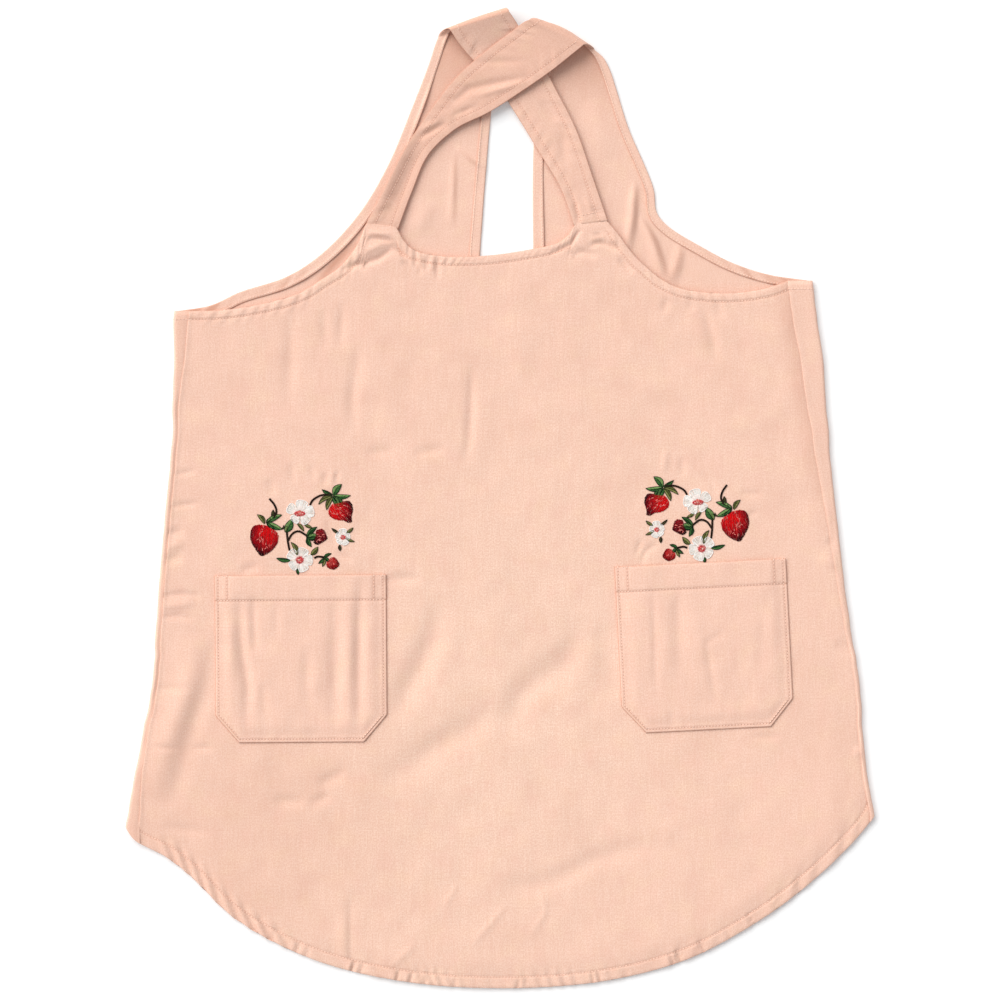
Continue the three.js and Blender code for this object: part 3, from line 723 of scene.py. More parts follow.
def back_relief(side, face, flat, starts):
    """Adds creases, hem rolls and stitch grooves to the grid, and returns the shade painted into the cloth."""
    underarm_row, fold_row, strap_row = starts
    out = BACKS[side]["outward"]
    x, y = face[..., 0], face[..., 1]
    seen = slice(underarm_row - SEEN_ROWS, fold_row), slice(flat)
    face[(*seen, 2)] += back_height(side, x[seen], y[seen])

    strap = face[strap_row:, :flat]
    width = np.linalg.norm(strap[:, -1] - strap[:, 0], axis=1)[:, None]
    d = np.linalg.norm(strap - strap[:, :1], axis=2)
    s = lengths(strap[:, flat // 2])[:, None]
    to_horn = s[-1] - s
    near = np.minimum(d, width - d)
    sx, sy = strap[..., 0], strap[..., 1]
    relief = STRAP_DEPTH * folds(sx, sy, STRAP_FOLDS[side]) + hem_profile(near, STRAP_STITCH, 0.06, 0.18)
    relief += 0.22 * wander(sx, sy, 16, 33) + 0.12 * wander(d, s, 9, 34)
    relief += 0.4 * puckers(s + 0 * d, near, 13, 0.6, 35) * bump(near - STRAP_STITCH, 7)
    relief -= 0.4 * bump(to_horn - HORN_STITCH, 0.95) * (side == "left")
    strap[..., 2] += relief * ease(s, 0, 14) * ease(to_horn, -3, 7) - 0.3 * (1 - ease(to_horn, 0, 2.5))

    wrap = face[:underarm_row, flat + ARC_COLUMNS:]
    from_seam = (wrap[..., 0] - seam_x(side, wrap[..., 1])) * out
    wrap[..., 2] += 0.2 * bump(from_seam - 2, 2) if side == "right" else tucked(from_seam)
    wrap[..., 2] += 0.15 * wander(wrap[..., 1], 0, 8, 36) * bump(from_seam, 6)
    painted_shade = np.zeros(x.shape)
    # painted shade: strap stitches and edges, the straps, crease lines, the left wrap and the loops' insides
    painted_shade[strap_row:, :flat] = 0.3 * bump(near - STRAP_STITCH, 0.8) + 0.4 * (near < 0.3) + STRAP_SHADE[side]
    painted_shade[:fold_row, :flat] = folds(x, y, BACK_CREASE_SHADE[side])[:fold_row, :flat]
    painted_shade[:underarm_row, flat + ARC_COLUMNS:] = 0.15 * (side == "left")
    half_turn = fold_row + FOLD_ROWS // 2
    dim_rows = np.arange(fold_row - LOOP_ROWS, half_turn)
    painted_shade[dim_rows, :flat] += LOOP_SHADE * ease(dim_rows, dim_rows[0], fold_row)[:, None]
    painted_shade[half_turn:strap_row, :flat] += STRAP_SHADE[side] + CREST_SHADE[side]
    return painted_shade


back_cloths = {}
for side, (face, flat, starts) in back_faces.items():
    painted_shade = back_relief(side, face, flat, starts)
    wall, facing = np.full(painted_shade.shape, CLOTH), -BACKS[side]["outward"]
    wall[: starts[0], -WRAP_COLUMNS:] = mix(CLOTH, LAP_WALL, even(WRAP_COLUMNS - 1))
    wall[-LAP_ROWS:] = mix(CLOTH, LAP_WALL, even(LAP_ROWS - 1))[:, None]
    back_cloths[side] = cloth_piece(f"back_cloth_{side}", face, wall, facing, flat_lengths(face), painted_shade)

# %% [markdown]
# ## Turned hems on the wrong side
# Where the back panels lie wrong side up, their turned hems show: a strip of cloth folded back along the
# edge, with a dark slit where its inner edge stands off the panel. Each strip is its own layer, laid on the
# panel's inner face, and lifted more in some places than in others.

# %% Hem strips
HEM_LAYER, LAYER_GAP = 0.55, 0.12
HEM_SEED = 41
# the width of the armhole hems as a share of the usual one, and how far the inner edges stand off
ARMHOLE_HEM = dict(left=1.0, right=0.78)
SLIT_LIFT = dict(armhole=1.5, centre=0.6)
EASE_FROM, EASE_TO = 24, 4


def square_to_edge(side, base, upper_rows):
    """Turns the rows of a hem square to the armhole, up to where the shoulder's loop begins."""
    along = np.gradient(base[:, 0, :2], axis=0)
    inward = np.stack([-along[:, 1], along[:, 0]], 1) / np.linalg.norm(along, axis=1, keepdims=True)
    inward *= np.sign(((base[:, -1] - base[:, 0])[:, :2] * inward).sum())
    d = np.linalg.norm(base - base[:, :1], axis=2, keepdims=True)
    spot = base[:, :1, :2] + inward[:, None] * d * ARMHOLE_HEM[side]
    level = np.concatenate([spot, back_height(side, spot[..., 0], spot[..., 1])[..., None]], 2)
    share = ease(np.arange(len(base)), upper_rows - EASE_FROM, upper_rows - EASE_TO)
    return mix(level, base, share[:, None, None])


def hem_strip(name, side, columns, lift, seed):
    """A turned hem on the inner face of a back panel, along one of its edges."""
    at_armhole = name.startswith("armhole")
    face, flat, starts = back_faces[side]
    out = -BACKS[side]["outward"]
    rows = slice(starts[0], starts[1] + FOLD_ROWS // 2)
    normal = normals_of(face[:, :flat])[rows, columns] * out
    base = face[rows, columns]
    if at_armhole:
        base = square_to_edge(side, base, starts[1] - starts[0])
    d = np.linalg.norm(base - base[:, :1], axis=2)
    s = lengths(base[:, 0])[:, None]
    ripple = np.clip(0.45 + 0.8 * wander(s, 0, 34, seed) + 0.3 * wander(s, 5, 13, seed + 1), 0.05, 1.3)
    up = CLOTH + LAYER_GAP + lift * ripple * ease(d, 0.55 * d.max(), d.max())
    layer = base - normal * up[..., None]
    # painted shadow along the slit at the strip's inner edge, and painted shade in slanting bands on armhole
    # hems
    slit = 0.7 * (d > d[:, -1:] - 0.7) + 0.12 * lift * ease(s, 60, 0)
    slit += 0.5 * at_armhole * np.clip(0.3 + wander(s + 1.5 * d, 3, 6, seed + 2), 0, 1) * ease(s, 150, 70)
    facing = -out if at_armhole else out  # the columns of an armhole hem run the other way
    strip = cloth_piece(name, layer, np.full(d.shape, HEM_LAYER), facing, flat_lengths(layer), slit)
    return strip, layer - normal * HEM_LAYER


EDGE_COLUMNS = len(hem_steps(STRAP_STITCH)) - 1
hem_strips, strip_tops = {}, {}
for side in BACKS:
    flat = back_faces[side][1]
    edges = dict(armhole=slice(flat - 2, flat - 1 - EDGE_COLUMNS, -1), centre=slice(1, EDGE_COLUMNS))
    for place, columns in edges.items():
        name = f"{place}_hem_{side}"
        seed = HEM_SEED + len(hem_strips)
        hem_strips[name], strip_tops[name] = hem_strip(name, side, columns, SLIT_LIFT[place], seed)
print("turned hems:", list(hem_strips))

# %% [markdown]
# ## Patch pockets
# Each pocket is a patch with cut-off lower corners, sewn down on three sides and open above, with a wide
# hem at its mouth. Its cloth is a little full, so it stands in soft upright folds. The grid sits on the
# front's own height, plus the layers of cloth that lie between.

# %% Folds of the pockets
# distance of the stitches from the edge, and from the middle to the box sewn at each end of the mouth
POCKET_STITCH, MOUTH_BOX = 3.2, 68
SLACK, FULLNESS = 1.8, dict(left=1.25, right=0.85)
POCKET_COLUMNS = 80
POCKET_FOLDS = {
    "left": [(-2.2, 5, (-61, 66), (-60, 19), (-53, -31), (-56, -74)), (-1.3, 4, (-47, 64), (-46, 4)),
             (-2.0, 8, (36, 62), (35, 0), (33, -78)), (-2.0, 5, (60, 82), (58, 20), (57, -78)),
             (-0.9, 5, (6, 14), (5, -46)), (-0.7, 4, (-38, -24), (-37, -58)), (0.9, 7, (47, 60), (46, -70)),
             (-0.5, 4, (-24, 58), (-24, 16)), (0.9, 6, (-72, 40), (-72, -30))],
    "right": [(-1.0, 3, (-48, 62), (-51, -54)), (-1.5, 6.5, (-23, 66), (-27, -24)),
              (-1.0, 3.5, (24, 16), (2, 3), (5, -24), (9, -60)), (-0.8, 3, (-38, -64), (-34, -76)),
              (0.8, 8, (-36, 60), (-38, -30)), (0.9, 9, (-4, 50), (-6, -40)), (-0.6, 6, (56, 40), (58, -40))],
}


def pocket_steps():
    edge = np.array([0, 0.25, 0.8, 1.7, 2.5, POCKET_STITCH, 3.9, 4.8, 6])
    mouth_stitch = POCKET_HEIGHT - POCKET_HEM
    up = [edge, np.arange(8, mouth_stitch - 3, 2.2), mouth_stitch + np.array([-1.8, -0.9, 0, 0.9, 1.8]),
          np.arange(mouth_stitch + 4, POCKET_HEIGHT - 3, 2.2), POCKET_HEIGHT - np.array([1.8, 0.8, 0.25, 0])]
    return edge, np.concatenate(up)


print("rows of a pocket:", len(pocket_steps()[1]))


# %% Pocket grids
def pocket_grid(side):
    """Grid of a pocket's outer face: points, and where they lie on the flat patch."""
    place = POCKETS[side]
    edge, up = pocket_steps()
    below = np.clip(1 - up / POCKET_CORNER["height"], 0, 1)
    half = POCKET_WIDTH / 2 - POCKET_CORNER["width"] * below
    near = edge * (1 + 0.33 * (below > 0)[:, None])
    inner = mix(-half[:, None] + near[:, -1:], half[:, None] - near[:, -1:], even(POCKET_COLUMNS)[1:-1])
    u = np.concatenate([-half[:, None] + near, inner, half[:, None] - near[:, ::-1]], 1)
    v = np.broadcast_to((up - POCKET_HEIGHT / 2)[:, None], u.shape)
    turn = np.radians(place["turn"])
    x = place["x"] + u * np.cos(turn) - v * np.sin(turn)
    y = place["y"] + u * np.sin(turn) + v * np.cos(turn)
    inside = np.minimum(half[:, None] - np.abs(u), up[:, None])
    mouth = POCKET_HEIGHT - up[:, None]
    loose = mix(0.75, 1.0, np.clip(up / POCKET_HEIGHT, 0, 1))[:, None] * ease(inside, 0, 17)
    full = SLACK + FULLNESS[side] * folds(u, v, POCKET_FOLDS[side])
    full += 0.3 * wander(u, v, 17, 51) + 0.15 * wander(u, 0.4 * v, 8, 52)
    z = front_height(x, y) + 0.3 + CLOTH + full * loose
    z += 0.45 * ease(inside, 0, 1.4) * (1 - ease(inside, 3.4, 7)) - 0.42 * bump(inside - POCKET_STITCH, 0.8)
    z += 0.3 * (1 - ease(mouth, POCKET_HEM - 1, POCKET_HEM + 1)) - 0.4 * bump(mouth - POCKET_HEM, 0.9)
    z += 0.16 * wander(u, v, 5, 53) * bump(inside - POCKET_STITCH, 5) - 0.3 * (1 - ease(mouth, 0, 1.2))
    wall = CLOTH + 0.4 * (inside < 7) + 0 * u
    # painted shade along the pocket's edges, its stitches, the hem of its mouth and the boxes at its ends
    painted_shade = 0.8 * (inside < 0.5) + 0.5 * bump(inside - POCKET_STITCH, 0.6)
    painted_shade += 0.5 * bump(mouth - POCKET_HEM, 0.7) + 0.45 * (mouth < 0.5)
    in_hem = mouth[:, 0] < POCKET_HEM
    for hand in (-1, 1):
        box = np.argmin(np.abs(u[-1] - hand * MOUTH_BOX))
        z[in_hem, box] -= 0.3
        painted_shade[in_hem, box] += 0.4
    return np.stack([x, y, z], 2), np.stack([u, v], 2), wall, painted_shade


pocket_faces, pocket_cloths = {}, {}
for side in POCKETS:
    face, patch, wall, painted_shade = pocket_grid(side)
    pocket_faces[side] = face, patch
    pocket_cloths[side] = cloth_piece(f"pocket_cloth_{side}", face, wall, 1, patch, painted_shade)

# %% [markdown]
# ## Cotton
# The cloth is a plain weave, dyed peach. Close up it is not one colour: slubby threads run along it as
# faint streaks, patches lean to pink or to yellow, and the weave gives it a fine grain. One node group
# makes all of that from the flat map of each piece, so the threads follow the cut of the cloth round every
# fold.

# %% Node helpers
def node(tree, kind, **settings):
    made = tree.nodes.new(kind)
    for key, value in settings.items():
        if key in made.inputs:
            made.inputs[key].default_value = value
        else:
            setattr(made, key, value)
    return made


def wire(tree, *rows):
    """Links nodes: a row is a node, its output, the next node and its input."""
    for source, output, target, into in rows:
        tree.links.new(source.outputs[output], target.inputs[into])


def add_sockets(tree, way, kind, *labels):
    for label in labels:
        tree.interface.new_socket(label, in_out=way, socket_type=f"NodeSocket{kind}")


def new_material(name, sockets):
    """A material and its shader, with the sockets set that are the same all over."""
    material = bpy.data.materials.new(name)
    material.use_nodes = True
    shader = material.node_tree.nodes["Principled BSDF"]
    for label, value in sockets.items():
        shader.inputs[label].default_value = value
    return material, material.node_tree, shader


def plain_colour(red, green, blue):
    """Linear colour from the 0 to 255 numbers of a paint chart."""
    part = np.array([red, green, blue]) / 255
    return (*np.where(part <= 0.04045, part / 12.92, ((part + 0.055) / 1.055) ** 2.4).tolist(), 1.0)


print("middle grey as a linear colour:", np.round(plain_colour(128, 128, 128), 3).tolist())


# %% Weave group
def weave_group():
    group = bpy.data.node_groups.new("cotton_weave", "ShaderNodeTree")
    add_sockets(group, "INPUT", "Vector", "Map")
    add_sockets(group, "INPUT", "Color", "Cloth", "Paler cloth", "Pink patch", "Yellow patch", "Deep thread",
                "Shade tone")
    add_sockets(group, "INPUT", "Float", "Painted shade", "Paler", "Threads per mm")
    add_sockets(group, "OUTPUT", "Color", "Colour")
    add_sockets(group, "OUTPUT", "Float", "Relief", "Roughness")
    inlet, outlet = node(group, "NodeGroupInput"), node(group, "NodeGroupOutput")
    join = group.links.new

    def speckle(scale, detail=2.0):
        """Noise with its own number of bumps per metre across and along the cloth."""
        stretch = node(group, "ShaderNodeVectorMath", operation="MULTIPLY")
        stretch.inputs[1].default_value = (*scale, 1.0)
        join(inlet.outputs["Map"], stretch.inputs[0])
        noise = node(group, "ShaderNodeTexNoise", Scale=1.0, Detail=detail)
        join(stretch.outputs[0], noise.inputs["Vector"])
        return noise.outputs["Fac"]

    def remap(value, low, high, to_low=0.0, to_high=1.0):
        ramp = node(group, "ShaderNodeMapRange")
        for key, number in zip(("From Min", "From Max", "To Min", "To Max"), (low, high, to_low, to_high)):
            ramp.inputs[key].default_value = number
        join(value, ramp.inputs["Value"])
        return ramp.outputs["Result"]

    def feed(socket, value):
        if isinstance(value, bpy.types.NodeSocket):
            join(value, socket)
        else:
            socket.default_value = value

    def blend(share, first, second):
        """A Mix node for colours, which are its inputs 6 and 7 and its output 2."""
        made = node(group, "ShaderNodeMix", data_type="RGBA", blend_type="MIX")
        for place, value in zip(("Factor", 6, 7), (share, first, second)):
            feed(made.inputs[place], value)
        return made.outputs[2]

    def maths(kind, *values):
        made = node(group, "ShaderNodeMath", operation=kind)
        for socket, value in zip(made.inputs, values):
            feed(socket, value)
        return made.outputs[0]

    # paler cloth where the piece's paler attribute says
    colour = blend(inlet.outputs["Paler"], inlet.outputs["Cloth"], inlet.outputs["Paler cloth"])
    colour = blend(remap(speckle((52, 44)), 0.5, 0.72, 0, 0.5), colour, inlet.outputs["Pink patch"])
    colour = blend(remap(speckle((38, 47)), 0.52, 0.74, 0, 0.6), colour, inlet.outputs["Yellow patch"])
    warp, weft, grain = speckle((1000, 40), 3), speckle((50, 1100), 3), speckle((900, 700), 2)
    for seen, low, deep in ((warp, 0.42, 0.24), (weft, 0.44, 0.16), (grain, 0.42, 0.6)):
        colour = blend(remap(seen, low, 1 - low, deep, 0.0), colour, inlet.outputs["Deep thread"])
    # painted shade: the colour is mixed towards the shade tone where the piece's painted shade attribute says
    join(blend(inlet.outputs["Painted shade"], colour, inlet.outputs["Shade tone"]), outlet.inputs["Colour"])

    split = node(group, "ShaderNodeSeparateXYZ")
    join(inlet.outputs["Map"], split.inputs[0])
    waves = []
    for axis in "XY":
        rate = maths("MULTIPLY", split.outputs[axis], inlet.outputs["Threads per mm"])
        waves.append(maths("SINE", maths("MULTIPLY", rate, 2 * np.pi / MM)))
    relief = warp
    for part, weight in ((weft, 0.7), (grain, 0.6), (maths("MULTIPLY", *waves), 0.12)):
        relief = maths("MULTIPLY_ADD", part, weight, relief)
    join(relief, outlet.inputs["Relief"])
    join(remap(warp, 0.3, 0.7, 0.96, 0.82), outlet.inputs["Roughness"])
    return group


WEAVE = weave_group()
print("weave group:", [item.name for item in WEAVE.interface.items_tree])


# %% Peach cotton
THREADS_PER_MM = 2.1


def cotton(name, tones):
    cloth_look = {"Sheen Weight": 0.12, "Sheen Roughness": 0.5, "Specular IOR Level": 0.25}
    material, tree, shader = new_material(name, cloth_look)
    weave = node(tree, "ShaderNodeGroup", node_tree=WEAVE)
    weave.inputs["Threads per mm"].default_value = THREADS_PER_MM
    for label, chart in tones.items():
        weave.inputs[label].default_value = plain_colour(*chart)
    flat_map = node(tree, "ShaderNodeUVMap", uv_map="flat_cloth")
    dent = node(tree, "ShaderNodeBump", Strength=0.35, Distance=0.17 * MM)
    for label, mark in (("Painted shade", "painted_shade_line"), ("Paler", "paler")):
        wire(tree, (node(tree, "ShaderNodeAttribute", attribute_name=mark), "Fac", weave, label))
    wire(tree, (flat_map, "UV", weave, "Map"), (weave, "Colour", shader, "Base Color"),
         (weave, "Roughness", shader, "Roughness"), (weave, "Relief", dent, "Height"),
         (dent, "Normal", shader, "Normal"))
    return material


# the shade tone is the colour that painted shade mixes into the cloth
PEACH_TONES = {
    "Cloth": (246, 208, 190), "Paler cloth": (249, 217, 197), "Pink patch": (245, 201, 185),
    "Yellow patch": (249, 215, 189), "Deep thread": (228, 180, 156), "Shade tone": (192, 130, 103),
}
peach_cotton = cotton("peach_cotton", PEACH_TONES)
cloth_pieces = [front_cloth, *back_cloths.values(), *hem_strips.values(), *pocket_cloths.values()]
for piece in cloth_pieces:
    piece.data.materials.append(peach_cotton)
print("pieces of peach cotton:", len(cloth_pieces))

# %% [markdown]
# ## Machine stitching
# A lockstitch shows as a row of short threads that dive into the cloth at each needle hole. Thousands of
# them would be tedious to place by hand, so a Geometry Nodes tree walks each sewing line at a fixed pitch
# and sets down one small thread, turned along the line. An attribute marks the two ends of a thread, which
# the material makes darker, because that is where the hole shadows it.

# %% Stitch tree
def geometry_tree(name, *numbers):
    tree = bpy.data.node_groups.new(name, "GeometryNodeTree")
    tree.is_modifier = True
    add_sockets(tree, "INPUT", "Geometry", "Geometry")
    add_sockets(tree, "OUTPUT", "Geometry", "Geometry")
    add_sockets(tree, "INPUT", "Float", *numbers)
    add_sockets(tree, "INPUT", "Material", "Material")
    return tree, node(tree, "NodeGroupInput"), node(tree, "NodeGroupOutput")


def finish_tree(tree, inlet, outlet, source, output):
    """Ends a tree with real geometry in the material that the modifier hands in."""
    real, finish = node(tree, "GeometryNodeRealizeInstances"), node(tree, "GeometryNodeSetMaterial")
    wire(tree, (source, output, real, "Geometry"), (real, "Geometry", finish, "Geometry"),
         (inlet, "Material", finish, "Material"), (finish, "Geometry", outlet, "Geometry"))
    return tree


def stitch_tree():
    tree, inlet, outlet = geometry_tree("machine_stitching", "Pitch", "Length", "Thickness")
    line = node(tree, "GeometryNodeMeshToCurve")
    walk = node(tree, "GeometryNodeResampleCurve", mode="LENGTH")
    ball = node(tree, "GeometryNodeMeshUVSphere", Segments=6, Rings=5, Radius=0.5)
    spot, split = node(tree, "GeometryNodeInputPosition"), node(tree, "ShaderNodeSeparateXYZ")
    far = node(tree, "ShaderNodeMath", operation="ABSOLUTE")
    mark = node(tree, "GeometryNodeStoreNamedAttribute", data_type="FLOAT", domain="POINT", Name="thread_end")
    size, shape = node(tree, "ShaderNodeCombineXYZ"), node(tree, "GeometryNodeTransform")
    tangent = node(tree, "GeometryNodeInputTangent")
    aim = node(tree, "FunctionNodeAlignRotationToVector", axis="X")
    place = node(tree, "GeometryNodeInstanceOnPoints")
    wire(tree, (inlet, "Geometry", line, "Mesh"), (line, "Curve", walk, "Curve"),
         (inlet, "Pitch", walk, "Length"))
    wire(tree, (spot, 0, split, 0), (split, "X", far, 0), (ball, "Mesh", mark, "Geometry"),
         (far, 0, mark, "Value"))
    wire(tree, (inlet, "Length", size, "X"), (inlet, "Thickness", size, "Y"), (inlet, "Thickness", size, "Z"))
    wire(tree, (mark, "Geometry", shape, "Geometry"), (size, 0, shape, "Scale"), (tangent, 0, aim, "Vector"))
    wire(tree, (walk, "Curve", place, "Points"), (shape, "Geometry", place, "Instance"),
         (aim, "Rotation", place, "Rotation"))
    return finish_tree(tree, inlet, outlet, place, "Instances")


STITCHING = stitch_tree()
print("stitch tree nodes:", len(STITCHING.nodes))


# %% From lines to threads
def grow(name, mesh, tree, **values):
    """Runs a Geometry Nodes tree on a mesh of lines and keeps the result as a plain mesh."""
    piece = piece_of(name, mesh)
    modifier = piece.modifiers.new("sewing", "NODES")
    modifier.node_group = tree
    for item in tree.interface.items_tree:
        if item.in_out == "INPUT" and item.name in values:
            modifier[item.identifier] = values[item.name]
    depsgraph = bpy.context.evaluated_depsgraph_get()
    made = bpy.data.meshes.new_from_object(piece.evaluated_get(depsgraph), depsgraph=depsgraph)
    piece.modifiers.clear()
    piece.data = made
    made.shade_smooth()
    print(f"{name}: {sum(len(p.vertices) - 2 for p in made.polygons)} triangles")
    return piece


def line_mesh(name, paths):
    """Loose edges along each path of points in mm."""
    spots = np.vstack(paths) * MM
    first = np.cumsum([0] + [len(path) for path in paths])
    steps = [np.arange(a, b - 1) for a, b in zip(first, first[1:])]
    edges = np.concatenate(steps)[:, None] + [0, 1]
    mesh = bpy.data.meshes.new(name)
    mesh.from_pydata(spots.tolist(), edges.tolist(), [])
    return mesh


STITCH = dict(Pitch=2.9 * MM, Length=2.85 * MM, Thickness=0.72 * MM)
print("stitch pitch, mm:", STITCH["Pitch"] / MM)

# %% [markdown]
# ## Where the thread runs
# The grids have a row or a column under every line of stitches, so a sewing line is one of those, raised a
# little. A pocket gets a line round three sides, one below the hem of its mouth, and a small box at each
# end of the mouth.

# %% Sewing lines of the front and the backs
THREAD_RISE = 0.05
LOOP_STITCHED, TIP_ROWS = 6, 4
low_row = list(low_steps).index(BOTTOM_STITCH)
top_row = len(front_y) - 1 - list(top_steps).index(TOP_STITCH)
raised = lambda points: points + np.array([0, 0, THREAD_RISE])
front_rows = [raised(front_face[low_row, 1:-1])]
for part in ("armhole_left", "neck", "armhole_right"):
    front_rows.append(raised(front_face[top_row, part_of == part][1:-1]))

stitch_column = list(hem_steps(STRAP_STITCH)).index(STRAP_STITCH)
back_lines = []
for side in BACKS:
    face, flat, starts = back_faces[side]
    strap = face[starts[2] - LOOP_STITCHED:, :flat]
    back_lines += [raised(strap[:, stitch_column]), raised(strap[:, flat - 1 - stitch_column])]
    to_horn = lengths(strap[:, flat // 2])
    horn_row = np.argmin(np.abs(to_horn[-1] - to_horn - HORN_STITCH))
    if side == "left":
        back_lines.append(raised(strap[horn_row, stitch_column:flat - stitch_column]))
    tip_rows = face[starts[0] - TIP_ROWS:starts[0], flat + ARC_COLUMNS // 2:]
    rise = np.interp(tip_rows[-1, -1, 1] - TOP_STITCH, tip_rows[:, -1, 1], np.arange(TIP_ROWS))
    low, share = int(rise), rise % 1
    back_lines.append(raised(mix(tip_rows[low], tip_rows[low + 1], share)))
    for place in ("armhole", "centre"):
        back_lines.append(raised(strip_tops[f"{place}_hem_{side}"][:, stitch_column - 1]))
print("sewing lines:", len(front_rows), len(back_lines))

# %% Sewing lines of the pockets
BELOW_MOUTH = 2
pocket_lines = []
for side in POCKETS:
    face, patch = pocket_faces[side]
    edge, up = pocket_steps()
    at = list(edge).index(POCKET_STITCH)
    hem, top = np.argmin(np.abs(up - (POCKET_HEIGHT - POCKET_HEM))), len(up) - 1 - BELOW_MOUTH
    pocket_lines.append(raised(np.vstack([face[:at:-1, at], face[at, at:-1 - at], face[at:, -1 - at]])))
    pocket_lines.append(raised(face[hem, at:-at]))
    for hand in (-1, 1):
        box = np.argmin(np.abs(patch[-1, :, 0] - hand * MOUTH_BOX))
        outer = at if hand < 0 else face.shape[1] - 1 - at
        corner = face[top, min(box, outer):max(box, outer) + 1]
        pocket_lines += [raised(face[hem:top + 1, box]), raised(corner)]
print("sewing lines of the pockets:", len(pocket_lines))


# %% Sewing thread
THREAD_TONE, HOLE_STARTS, HOLE_ENDS = (249, 213, 194), 0.26, 0.42


def thread_material(name, hole):
    material, tree, shader = new_material(name, {"Roughness": 0.6, "Sheen Weight": 0.15})
    ends = node(tree, "ShaderNodeAttribute", attribute_name="thread_end")
    ramp = node(tree, "ShaderNodeValToRGB")
    stops = ramp.color_ramp.elements
    for stop, spot, chart in zip(stops, (HOLE_STARTS, HOLE_ENDS), (THREAD_TONE, hole)):
        stop.position, stop.color = spot, plain_colour(*chart)
    wire(tree, (ends, "Fac", ramp, "Fac"), (ramp, "Color", shader, "Base Color"))
    return material


tight_thread = thread_material("tight_thread", (150, 92, 68))
easy_thread = thread_material("easy_thread", (206, 150, 124))
SEWN = (("front_stitches", front_rows, easy_thread), ("back_stitches", back_lines, easy_thread),
        ("pocket_stitches", pocket_lines, tight_thread))
stitch_rows = {name: grow(name, line_mesh(name, lines), STITCHING, Material=sewn, **STITCH)
               for name, lines, sewn in SEWN}

# %% [markdown]
# ## Strawberry sprigs
# Above each pocket grows an embroidered sprig of strawberries and blossoms, a common ornament on kitchen
# cloth. Embroidery is thread laid side by side, so that is how it is made: each leaf, petal and berry is
# filled with short threads, and a Geometry Nodes tree gives every thread its round body. The right sprig is
# the mirror image of the left one, a little higher and turned. Units of the tables are 0.92 mm, from the
# middle of the sprig.

# %% Berries of a sprig
# berries: outline, lit spot, tip, tones from lit to shaded, and lines along which pale flecks gather
BERRIES = [
    dict(outline=[(-40, 12.8), (-45.6, 11.7), (-49, 7), (-50, 2), (-49, -4.5), (-46.5, -9.5), (-43.4, -14),
                  (-40.5, -18), (-37.6, -19.2), (-33.6, -17.6), (-27.9, -13.6), (-23.3, -7.8), (-21.3, -2),
                  (-21.8, 2.5), (-24.7, 6.5), (-29.6, 9.4), (-34.7, 12)],
         lit=(-31, 4.5), tip=(-38.5, -19), tones=[(222, 14, 18), (150, 4, 18), (34, 0, 5)],
         flecks=[((-36, 10), (-40.5, 3), (-37, -4)), ((-42, -2), (-34, -7)), ((-37, -12), (-27, -7)),
                 ((-28, 8), (-25, 3))]),
    dict(outline=[(32, 33), (29, 28), (28.4, 23.7), (30, 20.8), (34, 18), (38.7, 16.6), (44.4, 16),
                  (47.3, 14.6), (50.2, 14.2), (52.2, 15.6), (51.6, 19), (52.5, 23.2), (53.2, 28.3), (52, 33),
                  (49, 36.3), (45, 36.3), (40, 35)],
         lit=(33.5, 26), tip=(51, 15), tones=[(220, 14, 18), (150, 4, 18), (38, 0, 6)],
         flecks=[((34, 31), (37, 28), (41, 28)), ((44, 32), (46, 30)), ((33, 23), (40, 24), (44, 21)),
                 ((46, 26), (49, 22))]),
    dict(outline=[(16, 7), (22, 8.2), (25, 5.9), (26.7, 2), (27.8, -1.2), (26, -3.2), (22.7, -5.5),
                  (19.2, -7.5), (16.2, -7.7), (14, -6.4), (13.2, -5), (14.6, 0)],
         lit=(21, 5.5), tip=(27.5, -1.5), tones=[(136, 8, 24), (96, 3, 18), (40, 0, 6)],
         flecks=[((18, 3), (21, -1), (17, -5)), ((22, 4), (24, 0))]),
    dict(outline=[(30.4, -20.6), (35, -20), (38, -24), (39.5, -27.7), (37, -31.2), (33.2, -32.8), (28.6, -31.2),
                  (26.2, -27.7), (27.4, -23.8)],
         lit=(29, -23.5), tip=(37, -31), tones=[(212, 84, 74), (156, 10, 16), (70, 2, 8)],
         flecks=[((30, -26), (35, -28))]),
]
print("berries:", len(BERRIES))

